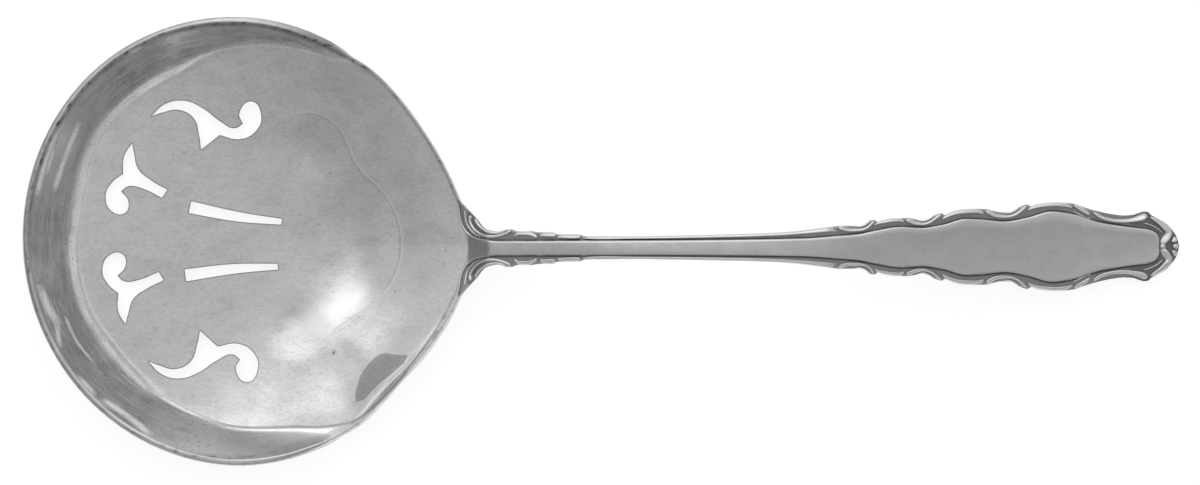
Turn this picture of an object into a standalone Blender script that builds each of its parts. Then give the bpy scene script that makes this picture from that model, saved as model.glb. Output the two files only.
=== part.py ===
"""Bonbon spoon: a pierced, dished silver bowl hard-soldered into the shoulders of a struck handle.

Lengths are metres and angles are degrees. The origin is on the flat underside of the bowl's floor,
on the handle's centre line. +X runs along the handle to its tip and +Z is up.
"""

import math

import bmesh
import bpy
import numpy as np

# Bowl, in its own frame: the origin is on the widest line of the outline, +X points to the heel.
SHEET = 0.0008
BOWL_FRONT = 0.0219
BOWL_BACK = 0.02505
BOWL_HALF_WIDTH = 0.0229
HEEL_TAPER = 1.48
FRONT_RISE = 0.0003
HEEL_RISE = 0.0030
WALL_RUN = 0.0045
WALL_SLOPE = 50.0
WALL_END = 0.46
CREASE = 0.0003
BOWL_SKEW = -2.0

# Flange at the heel, and the three-lobed end of the floor that is sunk in it, in the bowl's frame.
FLANGE_STEP = 0.0007
FLANGE_START_X = 0.0010
FLANGE_FULL_X = 0.0080
HOLLOW_X = 0.0086
HOLLOW_RADIUS = 0.0083
HOLLOW_RUN = 0.0058
LOBES = ((0.0066, 0.0092), (0.0053, -0.0078))
LOBE_RADIUS = 0.0044
LOBE_BLEND = 0.0034

# Middle of the flat underside of the floor, which the spoon rests on, in the bowl's frame.
FOOT_X = 0.0065

# Pierced outlines on the +Y side of the bowl, as (x, y, kind of point). The other side mirrors them.
LARGE_SCROLL = (
    (-0.0091, 0.01275, "corner"),
    (-0.0077, 0.01405, "smooth"),
    (-0.0057, 0.01445, "smooth"),
    (-0.0037, 0.0137, "smooth"),
    (-0.0020, 0.0125, "smooth"),
    (-0.00035, 0.01175, "smooth"),
    (0.0005, 0.01225, "corner"),
    (0.0001, 0.01335, "smooth"),
    (0.00135, 0.0146, "smooth"),
    (0.0024, 0.0131, "smooth"),
    (0.00185, 0.0115, "smooth"),
    (0.00025, 0.01065, "smooth"),
    (-0.0019, 0.0110, "corner"),
    (-0.0038, 0.0094, "corner"),
    (-0.00405, 0.0109, "smooth"),
    (-0.00465, 0.01265, "smooth"),
    (-0.00625, 0.0135, "smooth"),
    (-0.0080, 0.01315, "smooth"),
)
SMALL_SCROLL = (
    (-0.0115, 0.0094, "corner"),
    (-0.0123, 0.0080, "smooth"),
    (-0.01235, 0.00615, "corner"),
    (-0.01345, 0.00525, "smooth"),
    (-0.0141, 0.00375, "smooth"),
    (-0.0133, 0.00215, "smooth"),
    (-0.0120, 0.0021, "smooth"),
    (-0.0117, 0.0033, "smooth"),
    (-0.0125, 0.00435, "corner"),
    (-0.01175, 0.0049, "smooth"),
    (-0.0104, 0.00475, "smooth"),
    (-0.0082, 0.0038, "corner"),
    (-0.00765, 0.00465, "corner"),
    (-0.00935, 0.00555, "smooth"),
    (-0.0108, 0.00675, "smooth"),
    (-0.01125, 0.0083, "smooth"),
)
SLOT = (
    (-0.0054, 0.00295, "corner"),
    (-0.0004, 0.00225, "smooth"),
    (0.0043, 0.00205, "corner"),
    (0.0044, 0.00265, "corner"),
    (0.0000, 0.0032, "smooth"),
    (-0.0052, 0.0042, "corner"),
)

# Joint: the heel of the bowl seats in a slot between the handle's upper and lower lips.
HEEL_LINE = 0.0240
SEAT_GAP = 0.00015
SEAT_REACH = 0.0080
UPPER_LIP = 0.00075
LOWER_LIP = 0.0007
SOLDER_RADIUS = 0.0003
SOLDER_HALF_LENGTH = 0.0036

# Handle, in its own frame: the origin is on the heel line, +X points to the tip.
HANDLE_LENGTH = 0.0742
SHOULDER_FRONT = -0.0001
SHOULDER_SWEEP = 0.00094
SHOULDER_HALF_WIDTH = 0.0052
SHOULDER_END = 0.0021
NECK_HALF_WIDTH = 0.0019
NECK_RISE = 0.0010
NECK_PANEL = 0.00075
CREST_STATION = 0.0180
CREST_RISE = 0.0046
BLADE_FROM_TIP = 0.0356
BLADE_RISE = 0.0032
WIDE_FROM_TIP = 0.0127
WIDE_RISE = -0.0018
STEM_THICKNESS = 0.0019
BLADE_THICKNESS = 0.0015
TIP_THICKNESS = 0.0012
PANEL_DOME = 0.00012
GROOVE_DEPTH = 0.0003
EDGE_DROP = 0.0002

# Share of the border's width at the bottom of its groove and at the top of its bead, share of the
# thickness lost at the back's edges, and how fast the shoulders narrow.
GROOVE_AT = 0.3
BEAD_AT = 0.65
BACK_ROUND = 0.35
SHOULDER_CURVE = 1.2

# Edge of the stem past the shoulders, as (distance from the heel line, half width).
STEM_EDGE = (
    (0.0027, 0.00175),
    (0.0043, 0.00197),
    (0.0065, 0.00182),
    (0.0096, 0.00156),
    (0.0127, 0.00125),
    (0.0159, 0.00118),
)

# Scalloped edge of the blade, as (distance back from the tip, half width).
BLADE_EDGE = (
    (0.0437, 0.00145),
    (0.0395, 0.00176),
    (0.0375, 0.00208),
    (0.0343, 0.0023),
    (0.0337, 0.00226),
    (0.0320, 0.00269),
    (0.0293, 0.00298),
    (0.0271, 0.00284),
    (0.0251, 0.00345),
    (0.0212, 0.00395),
    (0.0184, 0.00363),
    (0.0162, 0.0043),
    (0.0127, 0.00461),
    (0.0111, 0.00447),
    (0.0087, 0.00382),
    (0.0055, 0.00328),
    (0.0036, 0.00362),
    (0.0024, 0.0030),
    (0.0011, 0.00216),
    (0.0005, 0.00133),
    (0.0, 0.0004),
)

# Plain panel down the middle of the blade, as (distance back from the tip, half width).
BLADE_PANEL = (
    (0.0395, 0.00093),
    (0.0320, 0.0017),
    (0.0293, 0.0021),
    (0.0271, 0.00197),
    (0.0224, 0.0029),
    (0.0184, 0.00264),
    (0.0134, 0.00367),
    (0.0087, 0.0026),
    (0.0048, 0.0020),
    (0.0024, 0.00125),
    (0.0, 0.0001),
)

# Mesh density, and how much closer together the rings are near the rim.
RINGS = 20
SECTORS = 72
RING_CROWDING = 1.2
SEAT_RINGS = 10
SEAT_SECTORS = 24
SHOULDER_STEPS = 8
HANDLE_STEPS = 54
CURVE_STEPS = 3
SOLDER_STEPS = 12


def smoothstep(t):
    t = np.clip(t, 0.0, 1.0)
    return t * t * (3.0 - 2.0 * t)


def smooth_min(a, b, blend):
    """Smaller of two distances, with the corner between them rounded over the blend."""
    share = np.clip(0.5 + 0.5 * (b - a) / blend, 0.0, 1.0)
    return b * (1.0 - share) + a * share - blend * share * (1.0 - share)


def monotone_through(points, at):
    """Curve through (x, y) points that turns only at the points: cubic, with limited slopes."""
    x, y = np.array(sorted(points)).T
    step = np.diff(x)
    rise = np.diff(y) / step
    slope = np.concatenate([rise[:1], np.zeros(len(x) - 2), rise[-1:]])
    same_way = rise[:-1] * rise[1:] > 0.0
    before = rise[:-1][same_way]
    after = rise[1:][same_way]
    slope[1:-1][same_way] = 2.0 * before * after / (before + after)
    span = np.clip(np.searchsorted(x, at) - 1, 0, len(step) - 1)
    t = (at - x[span]) / step[span]
    start = y[span] * (1.0 + 2.0 * t) * (1.0 - t) ** 2 + slope[span] * step[span] * t * (1.0 - t) ** 2
    end = y[span + 1] * t * t * (3.0 - 2.0 * t) - slope[span + 1] * step[span] * t * t * (1.0 - t)
    return start + end


def spline_through(points, at):
    """Natural cubic spline through (x, y) points."""
    x, y = np.array(points).T
    step = np.diff(x)
    bend_of = np.eye(len(x))
    change = np.zeros(len(x))
    for i in range(1, len(x) - 1):
        bend_of[i, i - 1 : i + 2] = step[i - 1], 2.0 * (step[i - 1] + step[i]), step[i]
        change[i] = 6.0 * ((y[i + 1] - y[i]) / step[i] - (y[i] - y[i - 1]) / step[i - 1])
    bend = np.linalg.solve(bend_of, change)
    span = np.clip(np.searchsorted(x, at) - 1, 0, len(step) - 1)
    left = (x[span + 1] - at) / step[span]
    right = 1.0 - left
    curve = (left**3 - left) * bend[span] + (right**3 - right) * bend[span + 1]
    return left * y[span] + right * y[span + 1] + curve * step[span] ** 2 / 6.0


def bowl_outline(angle):
    """Rim of the bowl: half an ellipse at the front, and a tapering back that closes at the heel."""
    cosine = np.cos(angle)
    sine = np.sin(angle)
    reach = np.where(cosine < 0.0, BOWL_FRONT, BOWL_BACK)
    taper = np.where(cosine < 0.0, 1.0, HEEL_TAPER)
    return reach * cosine, BOWL_HALF_WIDTH * np.sign(sine) * np.abs(sine) ** taper


def dish_height(share, angle):
    """Shallow dish of the bowl, which rises more towards the heel than towards the front."""
    heel = smoothstep(np.cos(angle) + 0.4)
    return (FRONT_RISE + (HEEL_RISE - FRONT_RISE) * heel) * share**2


def bowl_surface(share, angle):
    """Upper face of the bowl, at a share of the way from the middle of the bowl out to its rim.

    A flat floor has a steep wall round its front and sides, which fades out towards the heel. The
    heel is a flange that rises to the handle, and the floor ends below it in a hollow with three lobes.
    """
    rim_x, rim_y = bowl_outline(angle)
    x = share * rim_x
    y = share * rim_y
    from_rim = (1.0 - share) * np.hypot(rim_x, rim_y)
    run = WALL_RUN * np.maximum(1.0 - ((1.0 + np.cos(angle)) / (1.0 + WALL_END)) ** 3, 0.0)
    onset = CREASE * np.logaddexp(0.0, (run - from_rim) / CREASE)
    wall = math.tan(math.radians(WALL_SLOPE)) * onset * np.minimum(run / CREASE, 1.0)

    edge = np.hypot(x - HOLLOW_X, y) - HOLLOW_RADIUS
    for lobe_x, lobe_y in LOBES:
        edge = smooth_min(edge, np.hypot(x - lobe_x, y - lobe_y) - LOBE_RADIUS, LOBE_BLEND)
    inside = np.clip(-edge / HOLLOW_RUN, 0.0, 1.0)
    crisp = smoothstep((x - FLANGE_START_X) / (FLANGE_FULL_X - FLANGE_START_X))
    hollow = crisp * inside * (2.0 - inside) + (1.0 - crisp) * smoothstep(inside)
    flange = FLANGE_STEP * crisp + dish_height(share, angle)
    return x, y, SHEET + wall + flange * (1.0 - hollow)


def bowl_place():
    """Heel line on the world's X axis, and the place of the bowl's own origin for that."""
    skew = math.radians(BOWL_SKEW)
    heel = (HEEL_LINE - FOOT_X) * math.cos(skew)
    return heel, (heel - HEEL_LINE * math.cos(skew), -HEEL_LINE * math.sin(skew), 0.0), skew


def collection_named(name, hidden=False):
    collection = bpy.data.collections.new(name)
    collection.hide_render = hidden
    bpy.context.scene.collection.children.link(collection)
    return collection


def material_named(name, colour, roughness):
    material = bpy.data.materials.new(name)
    material.use_nodes = True
    shader = material.node_tree.nodes["Principled BSDF"]
    shader.inputs["Base Color"].default_value = (*colour, 1.0)
    shader.inputs["Metallic"].default_value = 1.0
    shader.inputs["Roughness"].default_value = roughness
    return material


def object_from(mesh, name, collection, material=None):
    if material:
        mesh.materials.append(material)
        mesh.shade_smooth()
        mesh.set_sharp_from_angle(angle=math.radians(35.0))
    else:
        collection.hide_render = True
    thing = bpy.data.objects.new(name, mesh)
    collection.objects.link(thing)
    if not material:
        thing.hide_render = True
        thing.display_type = "WIRE"
    return thing


def mesh_of(bm, name):
    mesh = bpy.data.meshes.new(name)
    bm.to_mesh(mesh)
    bm.free()
    return mesh


def sheet_mesh(name, rings, sectors, share_range, angle_range, lift=0.0):
    """Open grid laid on the bowl's upper face, welded along its seam and at its pole."""
    bm = bmesh.new()
    bmesh.ops.create_grid(bm, x_segments=rings, y_segments=sectors, size=0.5)
    grid = np.array([vert.co for vert in bm.verts])
    share = share_range[0] + (share_range[1] - share_range[0]) * (1.0 - (0.5 - grid[:, 0]) ** RING_CROWDING)
    angle = angle_range[0] + (angle_range[1] - angle_range[0]) * (grid[:, 1] + 0.5)
    for vert, point in zip(bm.verts, np.stack(bowl_surface(share, angle), axis=1)):
        vert.co = point
        vert.co.z += lift
    bmesh.ops.remove_doubles(bm, verts=bm.verts, dist=0.00001)
    return mesh_of(bm, name)


def solidify(thing, thickness):
    modifier = thing.modifiers.new("thickness", "SOLIDIFY")
    modifier.thickness = thickness
    modifier.offset = -1.0
    modifier.use_even_offset = True


def subtract(thing, cutter=None, cutters=None):
    modifier = thing.modifiers.new("cut", "BOOLEAN")
    modifier.operation = "DIFFERENCE"
    modifier.solver = "EXACT"
    if cutters:
        modifier.operand_type = "COLLECTION"
        modifier.collection = cutters
    else:
        modifier.object = cutter


def mesh_from_curve(curve, name):
    """Closed mesh of a curve's shape, with its loose caps welded on."""
    guide = bpy.data.objects.new(name, curve)
    bpy.context.scene.collection.objects.link(guide)
    graph = bpy.context.evaluated_depsgraph_get()
    mesh = bpy.data.meshes.new_from_object(guide.evaluated_get(graph))
    bpy.data.objects.remove(guide)
    bm = bmesh.new()
    bm.from_mesh(mesh)
    bmesh.ops.remove_doubles(bm, verts=bm.verts, dist=0.000005)
    bmesh.ops.recalc_face_normals(bm, faces=bm.faces)
    bm.to_mesh(mesh)
    bm.free()
    return mesh


def piercing_mesh(name, points, side):
    """Prism through the bowl's floor, with a closed curved outline."""
    curve = bpy.data.curves.new(name, "CURVE")
    curve.dimensions = "2D"
    curve.fill_mode = "BOTH"
    curve.resolution_u = CURVE_STEPS
    curve.extrude = FLANGE_STEP + HEEL_RISE + 2.0 * SHEET
    spline = curve.splines.new("BEZIER")
    spline.bezier_points.add(len(points) - 1)
    spline.use_cyclic_u = True
    for knot, (x, y, kind) in zip(spline.bezier_points, points):
        knot.co = (x, side * y, 0.0)
        handle = "AUTO" if kind == "smooth" else "VECTOR"
        knot.handle_left_type = handle
        knot.handle_right_type = handle
    return mesh_from_curve(curve, name)


def make_bowl(parts, piercings, material):
    _, origin, skew = bowl_place()
    sheet = sheet_mesh("bowl", RINGS, SECTORS, (0.0, 1.0), (0.0, 2.0 * math.pi))
    bowl = object_from(sheet, "bowl", parts, material)
    bowl.location = origin
    bowl.rotation_euler.z = skew
    outlines = (("large_scroll", LARGE_SCROLL), ("small_scroll", SMALL_SCROLL), ("slot", SLOT))
    for name, points in outlines:
        for side_name, side in (("upper", 1.0), ("lower", -1.0)):
            cutter = object_from(piercing_mesh(name, points, side), f"{name}_{side_name}", piercings)
            cutter.location = origin
            cutter.rotation_euler.z = skew
    solidify(bowl, SHEET)
    subtract(bowl, cutters=piercings)
    return bowl


def heel_top():
    """Height of the handle's upper face over the heel line."""
    return float(bowl_surface(HEEL_LINE / BOWL_BACK, 0.0)[2]) + SEAT_GAP + UPPER_LIP


def handle_station(reach, half, panel):
    """Ring of points round the handle at one station, upper face first and then the underside."""
    border = half - panel
    side = np.array([0.0, 0.5 * panel, panel, panel + GROOVE_AT * border, panel + BEAD_AT * border, half])
    relief = np.array([PANEL_DOME, 0.75 * PANEL_DOME, 0.0, -GROOVE_DEPTH, 0.0, -EDGE_DROP])
    y = np.concatenate([-side[:0:-1], side])
    relief = np.concatenate([relief[:0:-1], relief])
    front = SHOULDER_FRONT - SHOULDER_SWEEP * np.abs(y) / half
    into = np.clip((reach - SHOULDER_FRONT) / (SHOULDER_END - SHOULDER_FRONT), 0.0, 1.0)
    x = np.where(into < 1.0, front + (SHOULDER_END - front) * into, reach)

    top = heel_top()
    spine = (
        (SHOULDER_FRONT - SHOULDER_SWEEP, top),
        (SHOULDER_END, top + NECK_RISE),
        (CREST_STATION, top + CREST_RISE),
        (HANDLE_LENGTH - BLADE_FROM_TIP, top + BLADE_RISE),
        (HANDLE_LENGTH - WIDE_FROM_TIP, top + WIDE_RISE),
        (HANDLE_LENGTH, TIP_THICKNESS),
    )
    depth = (
        (SHOULDER_FRONT - SHOULDER_SWEEP, UPPER_LIP + SHEET + LOWER_LIP + 2.0 * SEAT_GAP),
        (CREST_STATION, STEM_THICKNESS),
        (HANDLE_LENGTH - WIDE_FROM_TIP, BLADE_THICKNESS),
        (HANDLE_LENGTH, TIP_THICKNESS),
    )
    height = spline_through(spine, x)
    under = height - monotone_through(depth, x) * (1.0 - BACK_ROUND * (y / half) ** 2)
    upper_face = np.stack([x, y, height + relief], axis=1)
    underside = np.stack([x, y, under], axis=1)
    return np.concatenate([upper_face, underside[::-1]])


def handle_rings():
    edge = [(SHOULDER_END, NECK_HALF_WIDTH), *STEM_EDGE]
    edge += [(HANDLE_LENGTH - back, half) for back, half in BLADE_EDGE]
    panel = [(SHOULDER_FRONT, NECK_PANEL), (CREST_STATION, NECK_PANEL)]
    panel += [(HANDLE_LENGTH - back, half) for back, half in BLADE_PANEL]
    for step in range(SHOULDER_STEPS):
        into = step / SHOULDER_STEPS
        reach = SHOULDER_FRONT + (SHOULDER_END - SHOULDER_FRONT) * into
        half = NECK_HALF_WIDTH + (SHOULDER_HALF_WIDTH - NECK_HALF_WIDTH) * (1.0 - into) ** SHOULDER_CURVE
        yield handle_station(reach, half, NECK_PANEL)
    for step in range(HANDLE_STEPS + 1):
        along = math.sin(0.5 * math.pi * (step / HANDLE_STEPS) ** 0.9)
        reach = SHOULDER_END + (HANDLE_LENGTH - SHOULDER_END) * (0.5 * along + 0.5 * step / HANDLE_STEPS)
        half = float(monotone_through(edge, reach))
        yield handle_station(reach, half, min(float(monotone_through(panel, reach)), 0.8 * half))


def loft(rings, name):
    """Solid through rings of the same count, with each end closed by strips across it."""
    bm = bmesh.new()
    loops = [[bm.verts.new(point) for point in ring] for ring in rings]
    count = len(loops[0])
    for before, after in zip(loops, loops[1:]):
        for i in range(count):
            j = (i + 1) % count
            bm.faces.new((before[i], before[j], after[j], after[i]))
    for end in (loops[0], loops[-1]):
        for i in range(count // 2 - 1):
            bm.faces.new((end[i], end[i + 1], end[count - 2 - i], end[count - 1 - i]))
    bmesh.ops.recalc_face_normals(bm, faces=bm.faces)
    return mesh_of(bm, name)


def make_handle(parts, seats, material):
    heel, origin, skew = bowl_place()
    handle = object_from(loft(list(handle_rings()), "handle"), "handle", parts, material)
    handle.location.x = heel
    nearest = 1.0 - SEAT_REACH / BOWL_BACK
    furthest = 1.0 + SEAT_GAP / BOWL_BACK
    spread = math.asin((2.0 * SHOULDER_HALF_WIDTH / BOWL_HALF_WIDTH) ** (1.0 / HEEL_TAPER))
    seat_mesh = sheet_mesh(
        "heel_seat", SEAT_RINGS, SEAT_SECTORS, (nearest, furthest), (-spread, spread), SEAT_GAP
    )
    seat = object_from(seat_mesh, "heel_seat", seats)
    seat.location = origin
    seat.rotation_euler.z = skew
    solidify(seat, SHEET + 2.0 * SEAT_GAP)
    subtract(handle, cutter=seat)
    return handle


def make_solder(parts, material):
    """Bead in the corner between the bowl's underside and the front of the handle's lower lip."""
    heel, origin, skew = bowl_place()
    clear = SOLDER_RADIUS + SEAT_GAP
    curve = bpy.data.curves.new("heel_solder", "CURVE")
    curve.dimensions = "3D"
    curve.bevel_depth = SOLDER_RADIUS
    curve.bevel_resolution = 2
    curve.use_fill_caps = True
    spline = curve.splines.new("POLY")
    across = np.linspace(-SOLDER_HALF_LENGTH, SOLDER_HALF_LENGTH, SOLDER_STEPS + 1)
    spline.points.add(SOLDER_STEPS)
    for point, y in zip(spline.points, across):
        front = heel + SHOULDER_FRONT - SHOULDER_SWEEP * abs(y) / SHOULDER_HALF_WIDTH - clear
        share, angle = bowl_share_at(front, y, origin, skew)
        under = float(bowl_surface(share, angle)[2]) - SHEET - clear
        point.co = (front, y, under, 1.0)
    return object_from(mesh_from_curve(curve, "heel_solder"), "heel_solder", parts, material)


def bowl_share_at(x, y, origin, skew):
    """Share and angle of the bowl's surface that lie over a point of the world, found by halving."""
    local_x = (x - origin[0]) * math.cos(skew) + (y - origin[1]) * math.sin(skew)
    local_y = (y - origin[1]) * math.cos(skew) - (x - origin[0]) * math.sin(skew)
    low, high = -0.5 * math.pi, 0.5 * math.pi
    for _ in range(40):
        angle = 0.5 * (low + high)
        rim_x, rim_y = bowl_outline(angle)
        if math.atan2(rim_y, rim_x) < math.atan2(local_y, local_x):
            low = angle
        else:
            high = angle
    return math.hypot(local_x, local_y) / float(np.hypot(rim_x, rim_y)), angle


def main():
    for thing in list(bpy.data.objects):
        bpy.data.objects.remove(thing)
    parts = collection_named("bonbon_spoon")
    piercings = collection_named("piercings", hidden=True)
    seats = collection_named("seats", hidden=True)
    make_bowl(parts, piercings, material_named("polished_silver", (0.62, 0.62, 0.61), 0.16))
    make_handle(parts, seats, material_named("satin_silver", (0.52, 0.52, 0.51), 0.32))
    make_solder(parts, material_named("silver_solder", (0.55, 0.55, 0.53), 0.38))


main()
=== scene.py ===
"""Looks of a bonbon spoon: a pierced silver bowl, its struck handle and the solder between them.

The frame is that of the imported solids: the spoon rests on z = 0, +X runs along the handle to its
tip, and the handle's own stations are counted from the heel line, where it meets the bowl. The bowl
is worked out in metres, and the handle in mm.
"""

import math

import bmesh
import bpy
import numpy as np
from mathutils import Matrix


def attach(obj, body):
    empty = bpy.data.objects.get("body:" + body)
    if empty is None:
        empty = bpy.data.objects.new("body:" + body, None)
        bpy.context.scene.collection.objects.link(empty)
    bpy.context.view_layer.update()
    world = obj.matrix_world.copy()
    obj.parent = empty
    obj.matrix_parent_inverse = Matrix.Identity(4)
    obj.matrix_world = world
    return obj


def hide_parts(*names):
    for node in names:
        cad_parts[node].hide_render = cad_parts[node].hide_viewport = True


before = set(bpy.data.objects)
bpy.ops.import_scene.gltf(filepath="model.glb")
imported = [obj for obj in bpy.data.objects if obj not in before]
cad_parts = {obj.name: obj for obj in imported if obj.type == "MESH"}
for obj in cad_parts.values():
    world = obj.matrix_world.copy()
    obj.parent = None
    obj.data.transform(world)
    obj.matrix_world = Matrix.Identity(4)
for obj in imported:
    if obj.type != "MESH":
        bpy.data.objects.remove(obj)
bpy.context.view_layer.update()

bl_info = {
    "name": "Bonbon Spoon",
    "version": (1, 0, 0),
    "blender": (4, 5, 0),
    "location": "View3D > Sidebar > Spoon",
    "description": "Builds a pierced silver bonbon spoon round its packed solids",
    "category": "Add Mesh",
}

MM = 0.001

# Bowl, in its own frame: the origin is on the widest line of the outline, +X points to the heel. The
# taper is the power of the sine at the back, and the skew is the bowl's turn on the handle.
SHEET = 0.8 * MM
BOWL_FRONT = 21.9 * MM
BOWL_BACK = 24.25 * MM
BOWL_HALF_WIDTH = 22.9 * MM
HEEL_TAPER = 1.3
BOWL_SKEW = math.radians(-2.0)
# Shares of the reach by which the rim is out of true: askew, and drawn in by the angle in degrees.
OUT_OF_TRUE = 0.0105
DRAWN_IN = (
    (-180, 0.0), (-90, 0.002), (-73, 0.005), (-59, 0.0), (-50, 0.022), (-44, 0.034), (-38, 0.027),
    (-33, 0.02), (-25, 0.011), (-8, 0.0), (0, 0.0), (15, 0.0105), (30, 0.0133), (38, 0.0125),
    (46, 0.006), (57, -0.002), (66, 0.009), (75, 0.0115), (90, 0.0105), (100, 0.008), (115, 0.004),
    (135, 0.0), (180, 0.0),
)
# Rim: the share of its rounding that is lost at the heel, the cosine from which it is lost, and the
# share of the rounding that lies inside the outline.
RIM_THINNING = 0.6
RIM_THIN_START = -0.4
RIM_INSET = 0.58

# Rise of the floor at the front and at the heel, the cosines over which it grows, and its curve.
FRONT_RISE = 0.3 * MM
HEEL_RISE = 3.15 * MM
DISH_START = -0.75
DISH_RUN = 1.75
DISH_POWER = 2.7

# Wall: its height, the cosine at which it ends, the even share of its slope, and the crease at its
# foot, which is sharper on one side.
WALL_HEIGHT = 5.36 * MM
WALL_END = 0.46
WALL_FOOT = 0.85
CREASE = 0.16 * MM
CREASE_SHARPER = 0.65
CREASE_TURN = -80.0
CREASE_SPREAD = 32.0
# Width of the wall in plan, in mm, by the angle in degrees.
WALL_RUN = (
    (-180, 4.0), (-167, 3.85), (-156, 3.8), (-139, 4.2), (-128, 4.15), (-114, 4.1), (-103, 3.85),
    (-92, 3.35), (-82, 2.95), (-74, 2.3), (-63, 0.6), (-57, 0.0), (57, 0.0), (63, 0.6), (76, 1.3),
    (88, 2.0), (101, 2.8), (117, 3.45), (129, 3.45), (144, 3.45), (155, 3.65), (167, 4.2),
    (176, 4.2), (180, 4.0),
)
# Ledge at the wall's foot, with the angles from which it grows on each side, and lip by the heel.
LEDGE_RUN = 0.9 * MM
LEDGE_RISE = 0.33 * MM
LEDGE_SOFT = 0.07 * MM
LEDGE_SIDES = ((1.0, 98.0, 17.0), (-1.0, 112.0, 20.0))
LIP_TURN = -42.0
LIP_SPREAD = 26.0
LIP_RUN = 0.62 * MM
LIP_RISE = 0.26 * MM

# Flange at the heel, and the hollow in it: a round middle and two lobes. It takes away a share of the
# height, more crisply on the flange, and has one blend for its edge and one for its slope.
FLANGE_STEP = 0.35 * MM
FLANGE_START_X = 2.0 * MM
FLANGE_RUN = 8.0 * MM
HOLLOW_X = 8.6 * MM
HOLLOW_RADIUS = 8.3 * MM
HOLLOW_RUN = 6.5 * MM
HOLLOW_SOFT = 0.12 * MM
HOLLOW_SHARE = 0.54
HOLLOW_CRISP = 0.25
LOBES = ((6.6 * MM, 9.2 * MM), (5.3 * MM, -7.8 * MM))
LOBE_RADIUS = 4.4 * MM
LOBE_BLEND = 3.4 * MM
SLOPE_BLEND = 8.0 * MM

# Marks on the bowl, in mm: the outline of a painted dark reflection, a pit, the path of a painted
# highlight in the hollow, how far that highlight spreads, and the distance that keeps the underside
# free of them.
DARK_REFLECTION = (
    (17.9, -11.4), (16.6, -11.4), (15.5, -11.25), (14.8, -11.5), (13.9, -12.4), (13.1, -13.6),
    (12.65, -15.3), (12.7, -16.4), (13.6, -16.1), (14.3, -15.2), (15.4, -14.1), (16.7, -13.0),
    (17.6, -12.1),
)
PIT = (10.2, -11.35)
HIGHLIGHT_PATH = ((8.3, -8.3), (10.4, -6.9), (12.4, -5.6))
HIGHLIGHT_SPREAD = 2.9
FAR_AWAY = 20.0
# How far under the upper face a point stops being on top, and over what run.
TOP_DEPTH = 0.5 * MM
TOP_RUN = 0.2 * MM
# Angle from which the rim is the front's, where its dull edge, nicked and darkened by painted
# shade, is twice as wide, and over what run.
FRONT_TURN = 50.0
FRONT_RUN = 14.0
DULL_WIDTH = 0.25 * MM
# Runs over which the wall and the hollow take their finish, the farthest from a pierced edge in mm,
# and the length in mm to which the wall's pattern stretches a radian.
WALL_FADE = 0.2 * MM
HOLLOW_FADE = 0.3 * MM
CUT_REACH = 2.0
RING_REACH = 20.0
# How much more than plain the wall is brightened by painted reflection, by the angle in degrees.
WALL_REFLECTION = (
    (-180, -0.1), (-171, 0.05), (-163, -0.5), (-137, -0.5), (-120, -0.2), (-106, 0.4), (-85, 0.9),
    (-60, 0.9), (60, -0.5), (100, -0.5), (128, -0.3), (145, 0.4), (160, 0.5), (172, 0.1),
    (180, -0.1),
)
# Bright rubbed marks on the wall, each a half width and a path in mm.
SCUFFS = (
    (0.3, ((-21.0, 4.2), (-20.4, 7.2), (-19.2, 10.9))),
    (0.16, ((-20.2, 6.2), (-19.5, 8.9))),
    (0.26, ((-19.4, 4.7), (-18.4, 8.2), (-17.1, 11.7))),
    (0.14, ((-18.6, 12.4), (-17.6, 14.2))),
    (0.2, ((-12.6, 18.8), (-10.6, 19.9))),
    (0.42, ((-20.4, -5.6), (-19.6, -7.5), (-18.6, -9.1))),
    (0.25, ((-18.7, -9.1), (-18.2, -11.5))),
    (0.11, ((-17.9, -8.4), (-16.6, -11.0), (-14.7, -13.2))),
    (0.22, ((-16.1, -14.7), (-14.4, -16.4))),
    (0.34, ((-13.6, -17.0), (-10.2, -19.1), (-8.5, -20.5))),
    (0.15, (
        (21.1, -7.9), (20.0, -9.5), (18.6, -11.6), (16.45, -14.0), (14.5, -16.1), (13.1, -18.0),
    )),
)
SCUFF_STEPS = 16
# Numbers that the bowl's finish reads at each point.
BOWL_MARKS = (
    "wall", "tone", "foot", "rim", "scuff", "cut", "lip", "hollow_edge", "hollow_crisp", "painted_highlight",
    "dark_reflection", "pit",
)

# Place of the heel line and of the bowl's own origin in the world.
HEEL_LINE = 24.0 * MM
FOOT_X = 6.5 * MM
HEEL_X = (HEEL_LINE - FOOT_X) * math.cos(BOWL_SKEW)
BOWL_ORIGIN = (HEEL_X - HEEL_LINE * math.cos(BOWL_SKEW), -HEEL_LINE * math.sin(BOWL_SKEW))

# Pierced outlines on the +Y side of the bowl, in mm, with a letter for a smooth point or a corner.
LARGE_SCROLL = (
    (-9.1, 12.75, "c"), (-7.7, 14.05, "s"), (-5.7, 14.45, "s"), (-3.7, 13.7, "s"),
    (-2.0, 12.5, "s"), (-0.35, 11.75, "s"), (0.5, 12.25, "c"), (0.1, 13.35, "s"),
    (1.35, 14.6, "s"), (2.4, 13.1, "s"), (1.85, 11.5, "s"), (0.25, 10.65, "s"), (-1.9, 11.0, "c"),
    (-3.8, 9.4, "c"), (-4.05, 10.9, "s"), (-4.65, 12.65, "s"), (-6.25, 13.5, "s"),
    (-8.0, 13.15, "s"),
)
SMALL_SCROLL = (
    (-11.5, 9.4, "c"), (-12.3, 8.0, "s"), (-12.35, 6.15, "c"), (-13.45, 5.25, "s"),
    (-14.1, 3.75, "s"), (-13.3, 2.15, "s"), (-12.0, 2.1, "s"), (-11.7, 3.3, "s"),
    (-12.5, 4.35, "c"), (-11.75, 4.9, "s"), (-10.4, 4.75, "s"), (-8.2, 3.8, "c"),
    (-7.65, 4.65, "c"), (-9.35, 5.55, "s"), (-10.8, 6.75, "s"), (-11.25, 8.3, "s"),
)
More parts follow.
